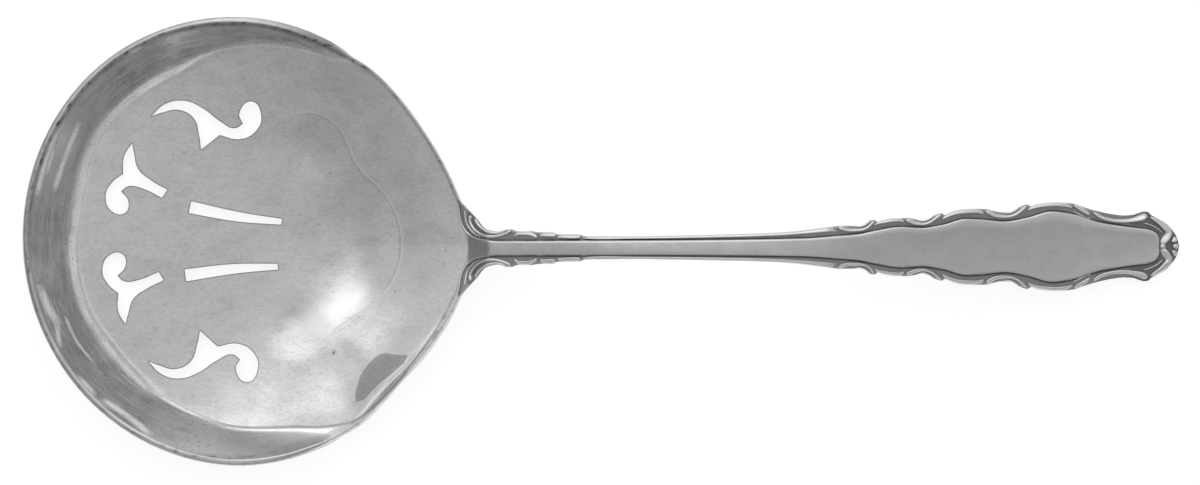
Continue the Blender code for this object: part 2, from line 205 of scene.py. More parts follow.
SLOT = (
    (-5.4, 2.95, "c"), (-0.4, 2.25, "s"), (4.3, 2.05, "c"), (4.4, 2.65, "c"), (0.0, 3.2, "s"),
    (-5.2, 4.2, "c"),
)
# The six pierced shapes, each with its side of the bowl and how far it is off its place, in mm.
PIERCINGS = (
    ("large_upper", LARGE_SCROLL, 1.0, (-0.62, -0.02)),
    ("large_lower", LARGE_SCROLL, -1.0, (-0.12, -0.14)),
    ("small_upper", SMALL_SCROLL, 1.0, (-0.14, 0.43)),
    ("small_lower", SMALL_SCROLL, -1.0, (-0.23, 0.26)),
    ("slot_upper", SLOT, 1.0, (-0.09, -0.23)),
    ("slot_lower", SLOT, -1.0, (-0.34, -0.23)),
)
# Divisor of a smooth point's handles, and the heights between which the bowl is cut.
SMOOTH_HANDLE = 2.5614
CUT_LOW = -2.0 * MM
CUT_HIGH = 6.0 * MM

# Handle, in mm in its own frame. Its line of height and its thickness are the solids'.
SPINE = ((-1.04, 5.152), (2.1, 6.152), (18.0, 9.752), (38.6, 8.352), (61.5, 3.352), (74.2, 1.2))
DEPTH = ((-1.04, 2.55), (18.0, 1.9), (61.5, 1.5), (74.2, 1.2))
BACK_ROUND = 0.35
LEAST_DEPTH = 0.3
EDGE_DROP = 0.05
# Where the handle starts on its axis, with the ramp up from the bowl's heel, how far along the heel
# is followed, and the stem's lean to one side.
RAMP_START = -0.1
RAMP_LIFT = 0.05
RAMP_SLOPE = 0.51
RAMP_BLEND = 0.15
HEEL_REACH = 5.0
STEM_LEAN = 0.05
# Stations from which the handle's forms grow or fade, each with its run: the lean, the sunk ground,
# the panel's dome and its dish, and the fall of the scrolls' crests.
LEAN_GROWS = (8.0, 8.0)
LEAN_FADES = (34.0, 10.0)
GROUND_GROWS = (0.4, 2.6)
DOME_GROWS = (1.0, 3.0)
DISH_GROWS = (36.0, 18.0)
FALL_GROWS = (4.0, 2.0)
# Plain panel: dome on the stem, dish on the blade, and the rounded step down to the sunk ground.
PANEL_DOME = 0.03
PANEL_DISH = 0.14
GROUND_DEPTH = 0.3
ROUND_SHARE = 0.35
ROUND_RUN = 0.2
STEP_RUN = 0.13
# Its half width on the stem, and stations: where the shoulders end, where each end of the panel is
# near, where it ends, with half the width of its blunt end, and where the blade turns in to the tip.
STEM_HALF = 0.75
SHOULDER_END = 3.0
NEAR_FRONT = 2.8
NEAR_END = 68.0
PANEL_END = 72.06
PANEL_CAP = 0.9
BLADE_END = 73.0
TIP_RUN = 1.199

# Shoulders, in mm from the heel line and from the axis: the flare where the plain panel runs out on
# to the bowl, and the outer edge. Past the last point both are half widths at a station.
FLARE = (
    (-1.2, 4.7), (-1.05, 3.8), (-0.96, 3.15), (-0.73, 2.45), (-0.38, 1.85), (0.0, 1.45),
    (0.35, 1.22), (0.95, 0.98), (1.6, 0.84), (3.0, 0.75),
)
SHOULDER = (
    (-1.1, 5.1), (-0.53, 4.54), (-0.06, 4.02), (0.3, 3.63), (0.73, 3.19), (1.08, 2.76),
    (1.34, 2.41), (1.78, 2.02), (2.3, 1.83), (3.0, 1.72),
)
EDGE = (
    (3.0, 1.72), (3.5, 1.8), (3.8, 1.93), (4.5, 1.96), (4.85, 1.82), (5.2, 1.74), (6.5, 1.76),
    (7.3, 1.66), (8.7, 1.64), (9.3, 1.42), (10.5, 1.42), (11.6, 1.38), (12.0, 1.22), (15.9, 1.18),
    (24.0, 1.28), (30.5, 1.45), (34.7, 1.76), (37.3, 2.09), (38.6, 2.24), (39.6, 2.24),
    (40.6, 2.2), (41.2, 2.44), (41.7, 2.78), (42.15, 2.84), (42.45, 2.64), (43.1, 2.8),
    (44.0, 2.97), (45.6, 3.02), (46.3, 2.92), (47.0, 2.76), (47.6, 2.84), (48.3, 3.2),
    (48.8, 3.46), (49.2, 3.5), (49.45, 3.34), (50.0, 3.5), (51.0, 3.84), (52.3, 3.95),
    (53.6, 3.95), (54.6, 3.75), (55.5, 3.6), (56.3, 3.62), (57.1, 3.92), (57.7, 4.3), (58.2, 4.4),
    (58.55, 4.22), (59.2, 4.42), (60.4, 4.58), (61.5, 4.61), (62.8, 4.52), (64.2, 4.1),
    (65.5, 3.72), (67.0, 3.4), (68.4, 3.24), (69.3, 3.3), (70.0, 3.52), (70.5, 3.64), (70.9, 3.6),
    (71.25, 3.28), (71.8, 3.0), (72.5, 2.6), (73.1, 2.14), (73.7, 1.4), (74.0, 0.85), (74.2, 0.05),
)
PANEL = (
    (3.0, 0.75), (12.0, 0.75), (18.0, 0.75), (27.0, 0.8), (34.7, 0.93), (38.0, 1.15), (40.5, 1.36),
    (42.2, 1.7), (44.9, 2.1), (47.1, 1.99), (49.2, 2.28), (51.8, 2.92), (53.5, 2.84), (55.8, 2.64),
    (58.0, 2.98), (60.8, 3.67), (63.2, 3.35), (65.0, 2.76), (66.0, 2.48), (67.1, 2.29),
    (68.3, 2.12), (69.3, 1.99), (70.6, 1.83), (71.2, 1.7), (71.6, 1.52), (71.9, 1.25),
    (72.03, 0.85), (72.06, 0.0),
)

# Ornament of one side, as the crest's rise over the ground and (station, side, half width), all in
# mm. The other side mirrors it.
SHOULDER_SCROLLS = (
    (0.2, (
        (-1.16, 4.75, 0.06), (-1.03, 3.8, 0.1), (-0.93, 3.1, 0.12), (-0.7, 2.42, 0.12),
        (-0.34, 1.8, 0.12), (0.04, 1.42, 0.12), (0.5, 1.14, 0.11), (1.2, 0.92, 0.1),
        (2.2, 0.79, 0.07),
    )),
    (0.2, (
        (-0.5, 3.95, 0.08), (-0.4, 3.5, 0.13), (-0.3, 2.85, 0.14), (0.02, 2.15, 0.13),
        (0.52, 1.57, 0.12), (1.25, 1.2, 0.07),
    )),
    (0.42, (
        (0.22, 3.42, 0.26), (0.1, 2.95, 0.22), (0.25, 2.42, 0.19), (0.6, 1.92, 0.18),
        (1.0, 1.6, 0.18), (1.5, 1.34, 0.18), (2.2, 1.21, 0.18), (3.0, 1.26, 0.18),
        (3.68, 1.46, 0.18), (4.2, 1.7, 0.15), (4.42, 1.86, 0.08),
    )),
    (0.28, (
        (0.62, 3.1, 0.12), (0.73, 2.85, 0.15), (0.99, 2.41, 0.15), (1.43, 1.99, 0.14),
        (1.95, 1.7, 0.13), (2.65, 1.56, 0.13), (3.3, 1.63, 0.13), (3.69, 1.78, 0.12),
        (3.86, 1.86, 0.07),
    )),
)
BORDER_SCROLLS = (
    (0.36, (
        (4.66, 1.1, 0.1), (5.0, 1.42, 0.17), (5.6, 1.53, 0.21), (6.2, 1.52, 0.22),
        (6.7, 1.38, 0.2), (7.02, 1.16, 0.16), (7.1, 1.02, 0.12),
    )),
    (0.36, (
        (7.36, 1.14, 0.12), (7.6, 1.34, 0.2), (8.1, 1.4, 0.25), (8.7, 1.38, 0.24),
        (9.05, 1.26, 0.12),
    )),
    (0.32, (
        (9.14, 1.1, 0.08), (9.6, 1.18, 0.18), (10.4, 1.19, 0.22), (11.2, 1.17, 0.2),
        (11.66, 1.18, 0.1),
    )),
    (0.28, (
        (11.74, 1.04, 0.1), (12.6, 1.04, 0.15), (16.0, 1.04, 0.15), (20.0, 1.08, 0.15),
        (25.0, 1.17, 0.16), (30.5, 1.31, 0.17), (34.65, 1.56, 0.2), (36.3, 1.74, 0.24),
        (37.4, 1.84, 0.25), (37.95, 1.8, 0.22), (38.24, 1.64, 0.14),
    )),
    (0.36, (
        (38.34, 2.02, 0.14), (38.7, 1.98, 0.22), (39.05, 1.86, 0.21), (39.5, 1.79, 0.19),
        (40.1, 1.79, 0.19), (40.7, 1.84, 0.19), (41.2, 1.98, 0.18), (41.6, 2.24, 0.17),
        (41.9, 2.52, 0.14), (42.08, 2.72, 0.07),
    )),
    (0.26, ((40.2, 2.14, 0.04), (40.8, 2.18, 0.08), (41.25, 2.38, 0.08), (41.6, 2.66, 0.04))),
    (0.38, (
        (42.02, 2.27, 0.07), (42.45, 2.47, 0.13), (43.1, 2.63, 0.19), (43.8, 2.76, 0.2),
        (44.5, 2.82, 0.2), (44.95, 2.75, 0.17), (45.22, 2.54, 0.11),
    )),
    (0.38, (
        (45.4, 2.78, 0.16), (45.75, 2.75, 0.23), (46.1, 2.6, 0.22), (46.55, 2.46, 0.19),
        (47.0, 2.41, 0.18), (47.5, 2.46, 0.18), (48.05, 2.69, 0.18), (48.55, 3.03, 0.17),
        (48.95, 3.32, 0.13), (49.1, 3.42, 0.07),
    )),
    (0.26, ((46.9, 2.7, 0.04), (47.5, 2.76, 0.08), (48.05, 3.02, 0.08), (48.5, 3.34, 0.04))),
    (0.4, (
        (49.1, 2.83, 0.07), (49.5, 3.08, 0.16), (50.2, 3.41, 0.21), (51.0, 3.62, 0.24),
        (52.0, 3.71, 0.24), (52.9, 3.68, 0.2), (53.4, 3.54, 0.16), (53.62, 3.33, 0.1),
    )),
    (0.4, (
        (53.78, 3.68, 0.15), (54.15, 3.57, 0.22), (54.5, 3.39, 0.22), (54.95, 3.23, 0.2),
        (55.6, 3.17, 0.2), (56.3, 3.21, 0.2), (56.9, 3.4, 0.2), (57.4, 3.7, 0.19),
        (57.8, 4.01, 0.16), (58.08, 4.26, 0.07),
    )),
    (0.26, ((55.7, 3.52, 0.04), (56.4, 3.56, 0.08), (56.95, 3.82, 0.08), (57.4, 4.18, 0.04))),
    (0.42, (
        (58.1, 3.77, 0.07), (58.6, 4.02, 0.16), (59.4, 4.24, 0.2), (60.4, 4.37, 0.22),
        (61.4, 4.4, 0.22), (62.2, 4.31, 0.2), (62.75, 4.12, 0.13), (63.05, 3.93, 0.07),
    )),
    (0.38, (
        (63.1, 4.28, 0.1), (63.5, 4.1, 0.19), (64.0, 3.82, 0.22), (64.5, 3.5, 0.19),
        (64.8, 3.26, 0.12),
    )),
    (0.16, ((63.0, 3.68, 0.07), (63.7, 3.4, 0.11), (64.4, 3.06, 0.11), (64.9, 2.92, 0.07))),
    (0.42, (
        (65.1, 3.58, 0.12), (65.4, 3.4, 0.18), (65.85, 3.13, 0.21), (66.4, 2.92, 0.21),
        (67.3, 2.74, 0.21), (68.3, 2.68, 0.23), (69.2, 2.77, 0.26), (69.7, 2.88, 0.32),
        (70.1, 3.0, 0.37), (70.5, 3.14, 0.38), (70.84, 3.28, 0.28),
    )),
)
TIP_SCROLLS = (
    (0.4, (
        (71.1, 3.08, 0.06), (71.6, 2.83, 0.2), (72.2, 2.45, 0.26), (72.72, 2.0, 0.32),
        (73.06, 1.58, 0.36), (73.0, 1.17, 0.41), (72.72, 0.8, 0.43), (72.5, 0.45, 0.4),
        (72.42, 0.1, 0.34),
    )),
    (0.26, (
        (70.4, 2.48, 0.05), (71.0, 2.32, 0.08), (71.5, 2.12, 0.09), (72.0, 1.83, 0.09),
        (72.45, 1.41, 0.06),
    )),
    (0.46, ((73.36, 0.44, 0.1), (73.58, 0.64, 0.28), (73.76, 0.82, 0.32), (73.88, 0.93, 0.3))),
)
TIP_MIDDLE = (
    (0.66, ((72.1, 0.0, 0.3), (72.46, 0.0, 0.42), (72.84, 0.0, 0.3))),
    (0.46, ((73.46, 0.0, 0.08), (73.7, 0.0, 0.28), (73.92, 0.0, 0.33), (74.12, 0.0, 0.3))),
)
BOTH_SIDES = (1.0, -1.0)
# Pieces of ornament, each with its tables and the sides that they stand on.
SCROLL_PIECES = {
    "shoulder_scrolls": ((SHOULDER_SCROLLS, BOTH_SIDES),),
    "border_scrolls": ((BORDER_SCROLLS, BOTH_SIDES),),
    "tip_scrolls": ((TIP_SCROLLS, BOTH_SIDES), (TIP_MIDDLE, (1.0,))),
}
# Share of the rise that is kept, the fall of a crest towards the handle's edge, how far a scroll and
# its flat back are sunk in the ground, and its least half width.
SCROLL_RISE = 0.68
SCROLL_LEAN = 0.55
SCROLL_SUNK = 0.02
BACK_SUNK = 0.22
LEAST_WIDTH = 0.03

# Bead of solder, in mm: its half length, its radius, how far it hangs under the sheet, and its line
# across the heel, which bends towards the bowl on both sides of the axis.
BEAD_HALF = 3.7
BEAD_RADIUS = 0.36
BEAD_HANG = 0.22
BEAD_FRONT = -0.4
BEAD_BEND = 0.94 / 5.2

# Brightness of the studio, by how far a direction leans to +Y, and the brightest of it.
SKY = (
    (-1.0, 0.62), (-0.6, 0.58), (-0.42, 0.5), (-0.3, 0.53), (-0.2, 0.58), (-0.1, 0.64),
    (0.0, 0.71), (0.1, 0.93), (0.19, 1.3), (0.265, 1.95), (0.35, 1.15), (0.5, 1.0), (0.7, 1.15),
    (1.0, 1.25),
)
SKY_TOP = 2.0
# Share of its plain grey by how far a direction leans to +X, the brightness past which it is a glow,
# and the brightness below the horizon.
SKY_ALONG = (
    (-1.0, 0.65), (-0.85, 0.7), (-0.7, 1.1), (-0.58, 1.18), (-0.5, 0.95), (-0.43, 0.91),
    (-0.36, 0.95), (-0.25, 0.97), (-0.12, 0.98), (0.0, 1.02), (0.06, 1.08), (0.14, 1.2),
    (0.22, 1.36), (0.3, 1.05), (0.4, 0.9), (1.0, 0.9),
)
SKY_PLAIN = 0.7
BELOW_LEVEL = 0.9
# Side light: place, size and brightness.
LIGHT_PLACE = (-0.2, 0.9, 0.75)
LIGHT_SIZE = (1.6, 0.9)
LIGHT_LEVEL = 0.3
# Floor: half its width, and how far it is under the spoon.
FLOOR_HALF = 4.0
FLOOR_SUNK = 0.02 * MM
# Camera: its sensor's width in mm, and the height over the floor at which the picture has its width.
SENSOR = 36.0
VIEW_HEIGHT = 4.0 * MM

# Mesh density, and how often an angle on the bowl is halved to find it.
SECTORS = 420
UPPER_RINGS = 130
LOWER_RINGS = 56
RING_CROWDING = 1.25
RIM_STEPS = 5
HALVINGS = 36
PIERCING_STEPS = 10
SHOULDER_STATIONS = 72
TIP_STATIONS = 26
FINE_STEP = 0.07
STEM_STEP = 0.3
STEM = (12.0, 34.0)
# Points of a handle's row: in mm from the panel's edge close inside it, the share of the way to the
# axis from which the others are spread, and in mm close outside it.
INSIDE_NEAR = (0.0, 0.045, 0.09, 0.14, 0.2)
INSIDE_FAR = 0.26
OUTSIDE_NEAR = 0.14
EVEN_STEPS = 8
BACK_COLUMNS = 15
FLARE_STEPS = 90
CLOSING_STEPS = 120
CAP_STEPS = 24
SCROLL_STEPS = 44
SCROLL_SIDES = 12
BEAD_STEPS = 60
BEAD_SIDES = 14


def eased(value, start, run):
    """Rise from 0 to 1 over a run, level at both ends: t squared times three less twice t."""
    t = np.clip((value - start) / run, 0.0, 1.0)
    return t * t * (3.0 - 2.0 * t)


def bell(value, middle, spread):
    """Hump that is 1 at its middle and falls to 0 at the spread on both sides."""
    return 1.0 - eased(np.abs(value - middle), 0.0, spread)


def soft_ramp(value, soft):
    """Nothing below 0 and the value above it, eased between: soft times log(1 + exp(value / soft))."""
    return soft * np.logaddexp(0.0, value / soft)


def smooth_min(a, b, blend):
    """Smaller of two distances, with the corner between them rounded over the blend."""
    share = np.clip(0.5 + 0.5 * (b - a) / blend, 0.0, 1.0)
    return b * (1.0 - share) + a * share - blend * share * (1.0 - share)


def degrees_of(angle):
    """Angle in degrees, between -180 and 180."""
    return (np.degrees(angle) + 180.0) % 360.0 - 180.0


def unit(vectors):
    """Vectors over their lengths."""
    return vectors / np.linalg.norm(vectors, axis=-1, keepdims=True)


def monotone_through(points, at):
    """Cubic curve through (x, y) points that turns only at them: its slope at a point is the harmonic
    mean of the grades on both sides, or 0 where they differ in sign."""
    x, y = np.array(points).T
    step = np.diff(x)
    grade = np.diff(y) / step
    slope = np.concatenate([grade[:1], np.zeros(len(x) - 2), grade[-1:]])
    same_way = grade[:-1] * grade[1:] > 0.0
    before = grade[:-1][same_way]
    after = grade[1:][same_way]
    slope[1:-1][same_way] = 2.0 * before * after / (before + after)
    at = np.clip(at, x[0], x[-1])
    span = np.clip(np.searchsorted(x, at) - 1, 0, len(step) - 1)
    t = (at - x[span]) / step[span]
    left = 1.0 - t
    start = y[span] * (1.0 + 2.0 * t) * left**2 + slope[span] * step[span] * t * left**2
    end = y[span + 1] * t * t * (3.0 - 2.0 * t) - slope[span + 1] * step[span] * t * t * left
    return start + end


def spline_through(points, at):
    """Natural cubic spline through (x, y) points: its bend has no jumps, and is 0 at both ends."""
    x, y = np.array(points).T
    step = np.diff(x)
    bend_of = np.eye(len(x))
    change = np.zeros(len(x))
    for i in range(1, len(x) - 1):
        bend_of[i, i - 1 : i + 2] = step[i - 1], 2.0 * (step[i - 1] + step[i]), step[i]
        change[i] = 6.0 * ((y[i + 1] - y[i]) / step[i] - (y[i] - y[i - 1]) / step[i - 1])
    bend = np.linalg.solve(bend_of, change)
    span = np.clip(np.searchsorted(x, at) - 1, 0, len(step) - 1)
    left = (x[span + 1] - at) / step[span]
    right = 1.0 - left
    curve = (left**3 - left) * bend[span] + (right**3 - right) * bend[span + 1]
    return left * y[span] + right * y[span + 1] + curve * step[span] ** 2 / 6.0


def along_points(points, count):
    """Rows of a smooth curve through rows of numbers, evenly spaced by the first two columns."""
    points = np.array(points)
    gone = np.concatenate([[0.0], np.cumsum(np.hypot(*np.diff(points[:, :2], axis=0).T))])
    at = np.linspace(0.0, gone[-1], count)
    columns = [spline_through(np.stack([gone, column], axis=1), at) for column in points.T]
    return np.stack(columns, axis=1)


def path_distance(x, y, path):
    """Distance from points to the nearest place on a path of straight spans."""
    distance = np.full_like(x, np.inf)
    for start, end in zip(path[:-1], path[1:]):
        span = end - start
        along = ((x - start[0]) * span[0] + (y - start[1]) * span[1]) / (span @ span)
        along = np.clip(along, 0.0, 1.0)
        gap = np.hypot(x - start[0] - along * span[0], y - start[1] - along * span[1])
        distance = np.minimum(distance, gap)
    return distance


def outline_distance(x, y, outline):
    """Signed distance outside a closed outline. A point is inside where a line from it to +X crosses
    the outline an odd number of times."""
    closed = np.concatenate([outline, outline[:1]])
    inside = np.zeros(x.shape, dtype=bool)
    for start, end in zip(closed[:-1], closed[1:]):
        span = end - start
        if span[1]:
            crosses = (y < start[1]) != (y < end[1])
            inside ^= crosses & (x < start[0] + (y - start[1]) * span[0] / span[1])
    return np.where(inside, -1.0, 1.0) * path_distance(x, y, closed)


def bowl_outline(angle):
    """Rim of the bowl by its angle: half an ellipse at the front, and a back that tapers to the heel,
    where the sine is raised to a power. Both are drawn in a little, out of true."""
    cosine = np.cos(angle)
    sine = np.sin(angle)
    reach = np.where(cosine < 0.0, BOWL_FRONT, BOWL_BACK)
    taper = np.where(cosine < 0.0, 1.0, HEEL_TAPER)
    true = 1.0 - OUT_OF_TRUE * np.sin(2.0 * angle) - monotone_through(DRAWN_IN, degrees_of(angle))
    return true * reach * cosine, true * BOWL_HALF_WIDTH * np.sign(sine) * np.abs(sine) ** taper


def wall_run(angle):
    """Width of the bowl's wall round its rim, in plan."""
    return monotone_through(WALL_RUN, degrees_of(angle)) * MM


def ledge_share(turned):
    """How much of the wall has a ledge at its foot: all of it at the front, and none at the heel."""
    return sum(eased(side * turned, start, run) for side, start, run in LEDGE_SIDES)


def lip_share(turned):
    """How much of the lip by the heel there is at an angle in degrees."""
    return bell(turned, LIP_TURN, LIP_SPREAD)


def flange_share(x):
    """How much of the heel's flange there is at a place along the bowl."""
    return eased(x, FLANGE_START_X, FLANGE_RUN)


def hollow_edge(x, y, blend):
    """Distance outside the edge of the hollow, which joins a round middle and two round lobes."""
    edge = np.hypot(x - HOLLOW_X, y) - HOLLOW_RADIUS
    for lobe_x, lobe_y in LOBES:
        edge = smooth_min(edge, np.hypot(x - lobe_x, y - lobe_y) - LOBE_RADIUS, blend)
    return edge


def bowl_height(x, y, share, angle):
    """Height of the bowl's upper face: the sheet, the wall, and the flange and dish less the hollow.

    The wall rises with the distance in from its foot, past a soft crease, with a ledge below it and a
    lip above. The dish rises as a power of the share, more at the heel. The hollow takes its share of
    the flange and the dish away, from its edge inwards.
    """
    turned = degrees_of(angle)
    from_rim = (1.0 - share) * np.hypot(*bowl_outline(angle))
    run = wall_run(angle)
    full = WALL_HEIGHT * np.maximum(1.0 - ((1.0 + np.cos(angle)) / (1.0 + WALL_END)) ** 3, 0.0)
    crease = CREASE * (1.0 - CREASE_SHARPER * bell(turned, CREASE_TURN, CREASE_SPREAD))
    onset = soft_ramp(run - from_rim, crease) / np.maximum(run, 2.0 * crease)
    ledge = LEDGE_RISE * ledge_share(turned)
    foot = soft_ramp(run + LEDGE_RUN - from_rim, LEDGE_SOFT) - soft_ramp(run - from_rim, LEDGE_SOFT)
    lip = LIP_RISE * lip_share(turned) * soft_ramp(LIP_RUN - from_rim, LEDGE_SOFT) / LIP_RUN
    wall = (full - ledge) * onset * (WALL_FOOT + (1.0 - WALL_FOOT) * onset)
    wall = wall + ledge * foot / LEDGE_RUN + lip

    inside = soft_ramp(-hollow_edge(x, y, SLOPE_BLEND), HOLLOW_SOFT) / HOLLOW_RUN
    inside = np.clip(inside, 0.0, 1.0)
    hollow = eased(inside, 0.0, 1.0)
    flange = flange_share(x)
    hollow = hollow + HOLLOW_CRISP * flange * (inside * (2.0 - inside) - hollow)
    heel = eased(np.cos(angle), DISH_START, DISH_RUN)
    dish = (FRONT_RISE + (HEEL_RISE - FRONT_RISE) * heel) * share**DISH_POWER
    return SHEET + wall + (FLANGE_STEP * flange + dish) * (1.0 - HOLLOW_SHARE * hollow)


def bowl_surface(share, angle):
    """Points of the bowl's upper face, at a share of the way from its middle out to its rim."""
    rim_x, rim_y = bowl_outline(angle)
    x = share * rim_x
    y = share * rim_y
    return np.stack([x, y, bowl_height(x, y, share, angle)], axis=-1)


def bowl_frame(share, angle):
    """Points of the upper face with their normals and outward directions, by small differences."""
    step = 1e-4
    outward = unit(bowl_surface(share + step, angle) - bowl_surface(share - step, angle))
    around = bowl_surface(share, angle + step) - bowl_surface(share, angle - step)
    return bowl_surface(share, angle), unit(np.cross(outward, around)), outward


def bowl_share(x, y):
    """Share and angle of the bowl's surface over points of its own frame, by halving the angle. The
    outline of the +Y side serves for both sides."""
    low = np.zeros_like(x)
    high = np.full_like(x, math.pi)
    wanted = np.arctan2(np.abs(y), x)
    for _ in range(HALVINGS):
        angle = 0.5 * (low + high)
        rim_x, rim_y = bowl_outline(angle)
        short = np.arctan2(rim_y, rim_x) < wanted
        low = np.where(short, angle, low)
        high = np.where(short, high, angle)
    return np.hypot(x, y) / np.hypot(rim_x, rim_y), angle * np.where(y < 0.0, -1.0, 1.0)


def bowl_to_world(points):
    """Turns points of the bowl's frame by its skew and sets them in their place."""
    cosine = math.cos(BOWL_SKEW)
    sine = math.sin(BOWL_SKEW)
    x = cosine * points[..., 0] - sine * points[..., 1] + BOWL_ORIGIN[0]
    y = sine * points[..., 0] + cosine * points[..., 1] + BOWL_ORIGIN[1]
    return np.stack([x, y, points[..., 2]], axis=-1)


def world_to_bowl(x, y):
    """Places of the bowl's frame from places of the world, in plan."""
    cosine = math.cos(BOWL_SKEW)
    sine = math.sin(BOWL_SKEW)
    x = x - BOWL_ORIGIN[0]
    y = y - BOWL_ORIGIN[1]
    return cosine * x + sine * y, cosine * y - sine * x


def heel_height(x, y):
    """Height of the bowl's upper face at places of the handle's frame, all in mm."""
    x, y = world_to_bowl(HEEL_X + x * MM, y * MM)
    return bowl_height(x, y, *bowl_share(x, y)) / MM


def handle_to_world(points):
    """Sets points of the handle's frame, in mm, in their place in metres."""
    return (points + (HEEL_X / MM, 0.0, 0.0)) * MM


def add_object(name, data):
    """New object of the scene."""
    thing = bpy.data.objects.new(name, data)
    bpy.context.scene.collection.objects.link(thing)
    return thing


def add_piece(name, mesh, material, sharp):
    """New piece of one material, smooth except at edges sharper than an angle in degrees."""
    mesh.materials.append(material)
    mesh.shade_smooth()
    mesh.set_sharp_from_angle(angle=math.radians(sharp))
    return add_object(name, mesh)


def mesh_from_quads(name, points, quads, ends):
    """Mesh of quads and of the faces that close its ends, all turned outwards."""
    mesh = bpy.data.meshes.new(name)
    mesh.from_pydata(points.reshape(-1, 3).tolist(), [], [*quads.tolist(), *ends])
    solid = bmesh.new()
    solid.from_mesh(mesh)
    bmesh.ops.recalc_face_normals(solid, faces=solid.faces)
    solid.to_mesh(mesh)
    solid.free()
    return mesh


def grid_quads(rows, columns, first=0):
    """Corner numbers of the quads of a grid of points, whose columns close into a ring."""
    row, column = np.meshgrid(np.arange(rows - 1), np.arange(columns), indexing="ij")
    here = first + row * columns + column
    after = first + row * columns + (column + 1) % columns
    return np.stack([here, after, after + columns, here + columns], axis=-1).reshape(-1, 4)


def tube_faces(rows, columns, first=0):
    """Corner numbers of the quads of a tube, and of the two faces that close its ends."""
    ring = first + np.arange(columns)
    ends = [ring.tolist(), (ring[::-1] + (rows - 1) * columns).tolist()]
    return grid_quads(rows, columns, first)[:, ::-1], ends


def set_attribute(mesh, name, values, kind="FLOAT", field="value"):
    """Gives each point of a mesh its value of a new attribute."""
    attribute = mesh.attributes.new(name, kind, "POINT")
    attribute.data.foreach_set(field, np.ascontiguousarray(values, dtype=np.float32).ravel())


def vertex_array(mesh):
    """Places of a mesh's points, a row for each."""
    points = np.empty(len(mesh.vertices) * 3, dtype=np.float32)
    mesh.vertices.foreach_get("co", points)
    return points.reshape(-1, 3).astype(float)


def shell_mesh(sheet, rim_round):
    """Closed shell of the bowl. Its rows run out over the upper face, round the rim and back under.

    The underside is the upper face moved down its normals by the sheet's thickness, and the rim has
    a quarter circle at each of its two edges.
    """
    angle = (np.arange(SECTORS) + 0.5) * 2.0 * math.pi / SECTORS
    rim_round = rim_round * (1.0 - RIM_THINNING * eased(np.cos(angle), RIM_THIN_START, 1.0))
    last = 1.0 - RIM_INSET * rim_round / np.hypot(*bowl_outline(angle))
    angle = angle[None, :]
    rim_round = rim_round[:, None]
    upper = 1.0 - (1.0 - np.linspace(0.0, 1.0, UPPER_RINGS + 1)[1:, None]) ** RING_CROWDING
    lower = np.linspace(1.0, 0.0, LOWER_RINGS + 1)[:-1, None]
    top = bowl_surface(upper * last, angle)
    point, normal, outward = bowl_frame(last[None, :], angle)
    turn = np.linspace(0.0, 0.5 * math.pi, RIM_STEPS)[:, None, None]
    above = point + rim_round * (normal * (np.cos(turn) - 1.0) + outward * np.sin(turn))
    below = rim_round * (normal * (1.0 - np.sin(turn)) + outward * np.cos(turn))
    below = point - sheet * normal + below
    under, down, _ = bowl_frame(lower * last, angle)
    rows = np.concatenate([top, above[1:], below[:-1], under - sheet * down])
    middle = bowl_surface(np.zeros(1), np.zeros(1))
    points = np.concatenate([middle, middle - (0.0, 0.0, sheet), rows.reshape(-1, 3)])
    quads = grid_quads(len(rows), SECTORS, first=2)[:, ::-1]
    ring = 2 + np.arange(SECTORS)
    after = np.roll(ring, -1)
    final = (len(rows) - 1) * SECTORS
    fan = np.stack([ring, after, np.zeros_like(ring)], axis=1)
    under_fan = np.stack([final + after, final + ring, np.ones_like(ring)], axis=1)
    ends = [*fan.tolist(), *under_fan.tolist()]
    return mesh_from_quads("bowl", bowl_to_world(points), quads, ends)


def pierced_outline(points, side, off):
    """Closed outline of cubic spans. A smooth point's handles follow its neighbours, each as long as
    its span over 2.56, and a corner's handles point a third of the way along its spans."""
    here = (np.array([point[:2] for point in points]) * (1.0, side) + off) * MM
    smooth = np.array([point[2] == "s" for point in points])[:, None]
    ends = np.roll(here, -1, axis=0)
    back = here - np.roll(here, 1, axis=0)
    on = ends - here
    back_length = np.linalg.norm(back, axis=1, keepdims=True)
    on_length = np.linalg.norm(on, axis=1, keepdims=True)
    tangent = on / on_length + back / back_length
    tangent = tangent / (SMOOTH_HANDLE * np.linalg.norm(tangent, axis=1, keepdims=True))
    leave = here + np.where(smooth, tangent * on_length, on / 3.0)
    arrive = np.roll(here - np.where(smooth, tangent * back_length, back / 3.0), -1, axis=0)
    t = (np.arange(PIERCING_STEPS) / PIERCING_STEPS)[None, :, None]
    left = 1.0 - t
    spans = left**3 * here[:, None] + 3.0 * left**2 * t * leave[:, None]
    spans = spans + 3.0 * left * t**2 * arrive[:, None] + t**3 * ends[:, None]
    return spans.reshape(-1, 2)


def piercing_prism(name, points, side, off):
    """Upright prism through the bowl's floor, with a pierced outline for its section."""
    outline = pierced_outline(points, side, off)
    x, y = outline.T
    if np.sum(x * np.roll(y, -1) - y * np.roll(x, -1)) < 0.0:
        outline = outline[::-1]
    count = len(outline)
    rows = [np.column_stack([outline, np.full(count, height)]) for height in (CUT_LOW, CUT_HIGH)]
    ring = np.arange(count)
    ends = [ring[::-1].tolist(), (ring + count).tolist()]
    return add_object(
        name, mesh_from_quads(name, bowl_to_world(np.stack(rows)), grid_quads(2, count), ends)
    )


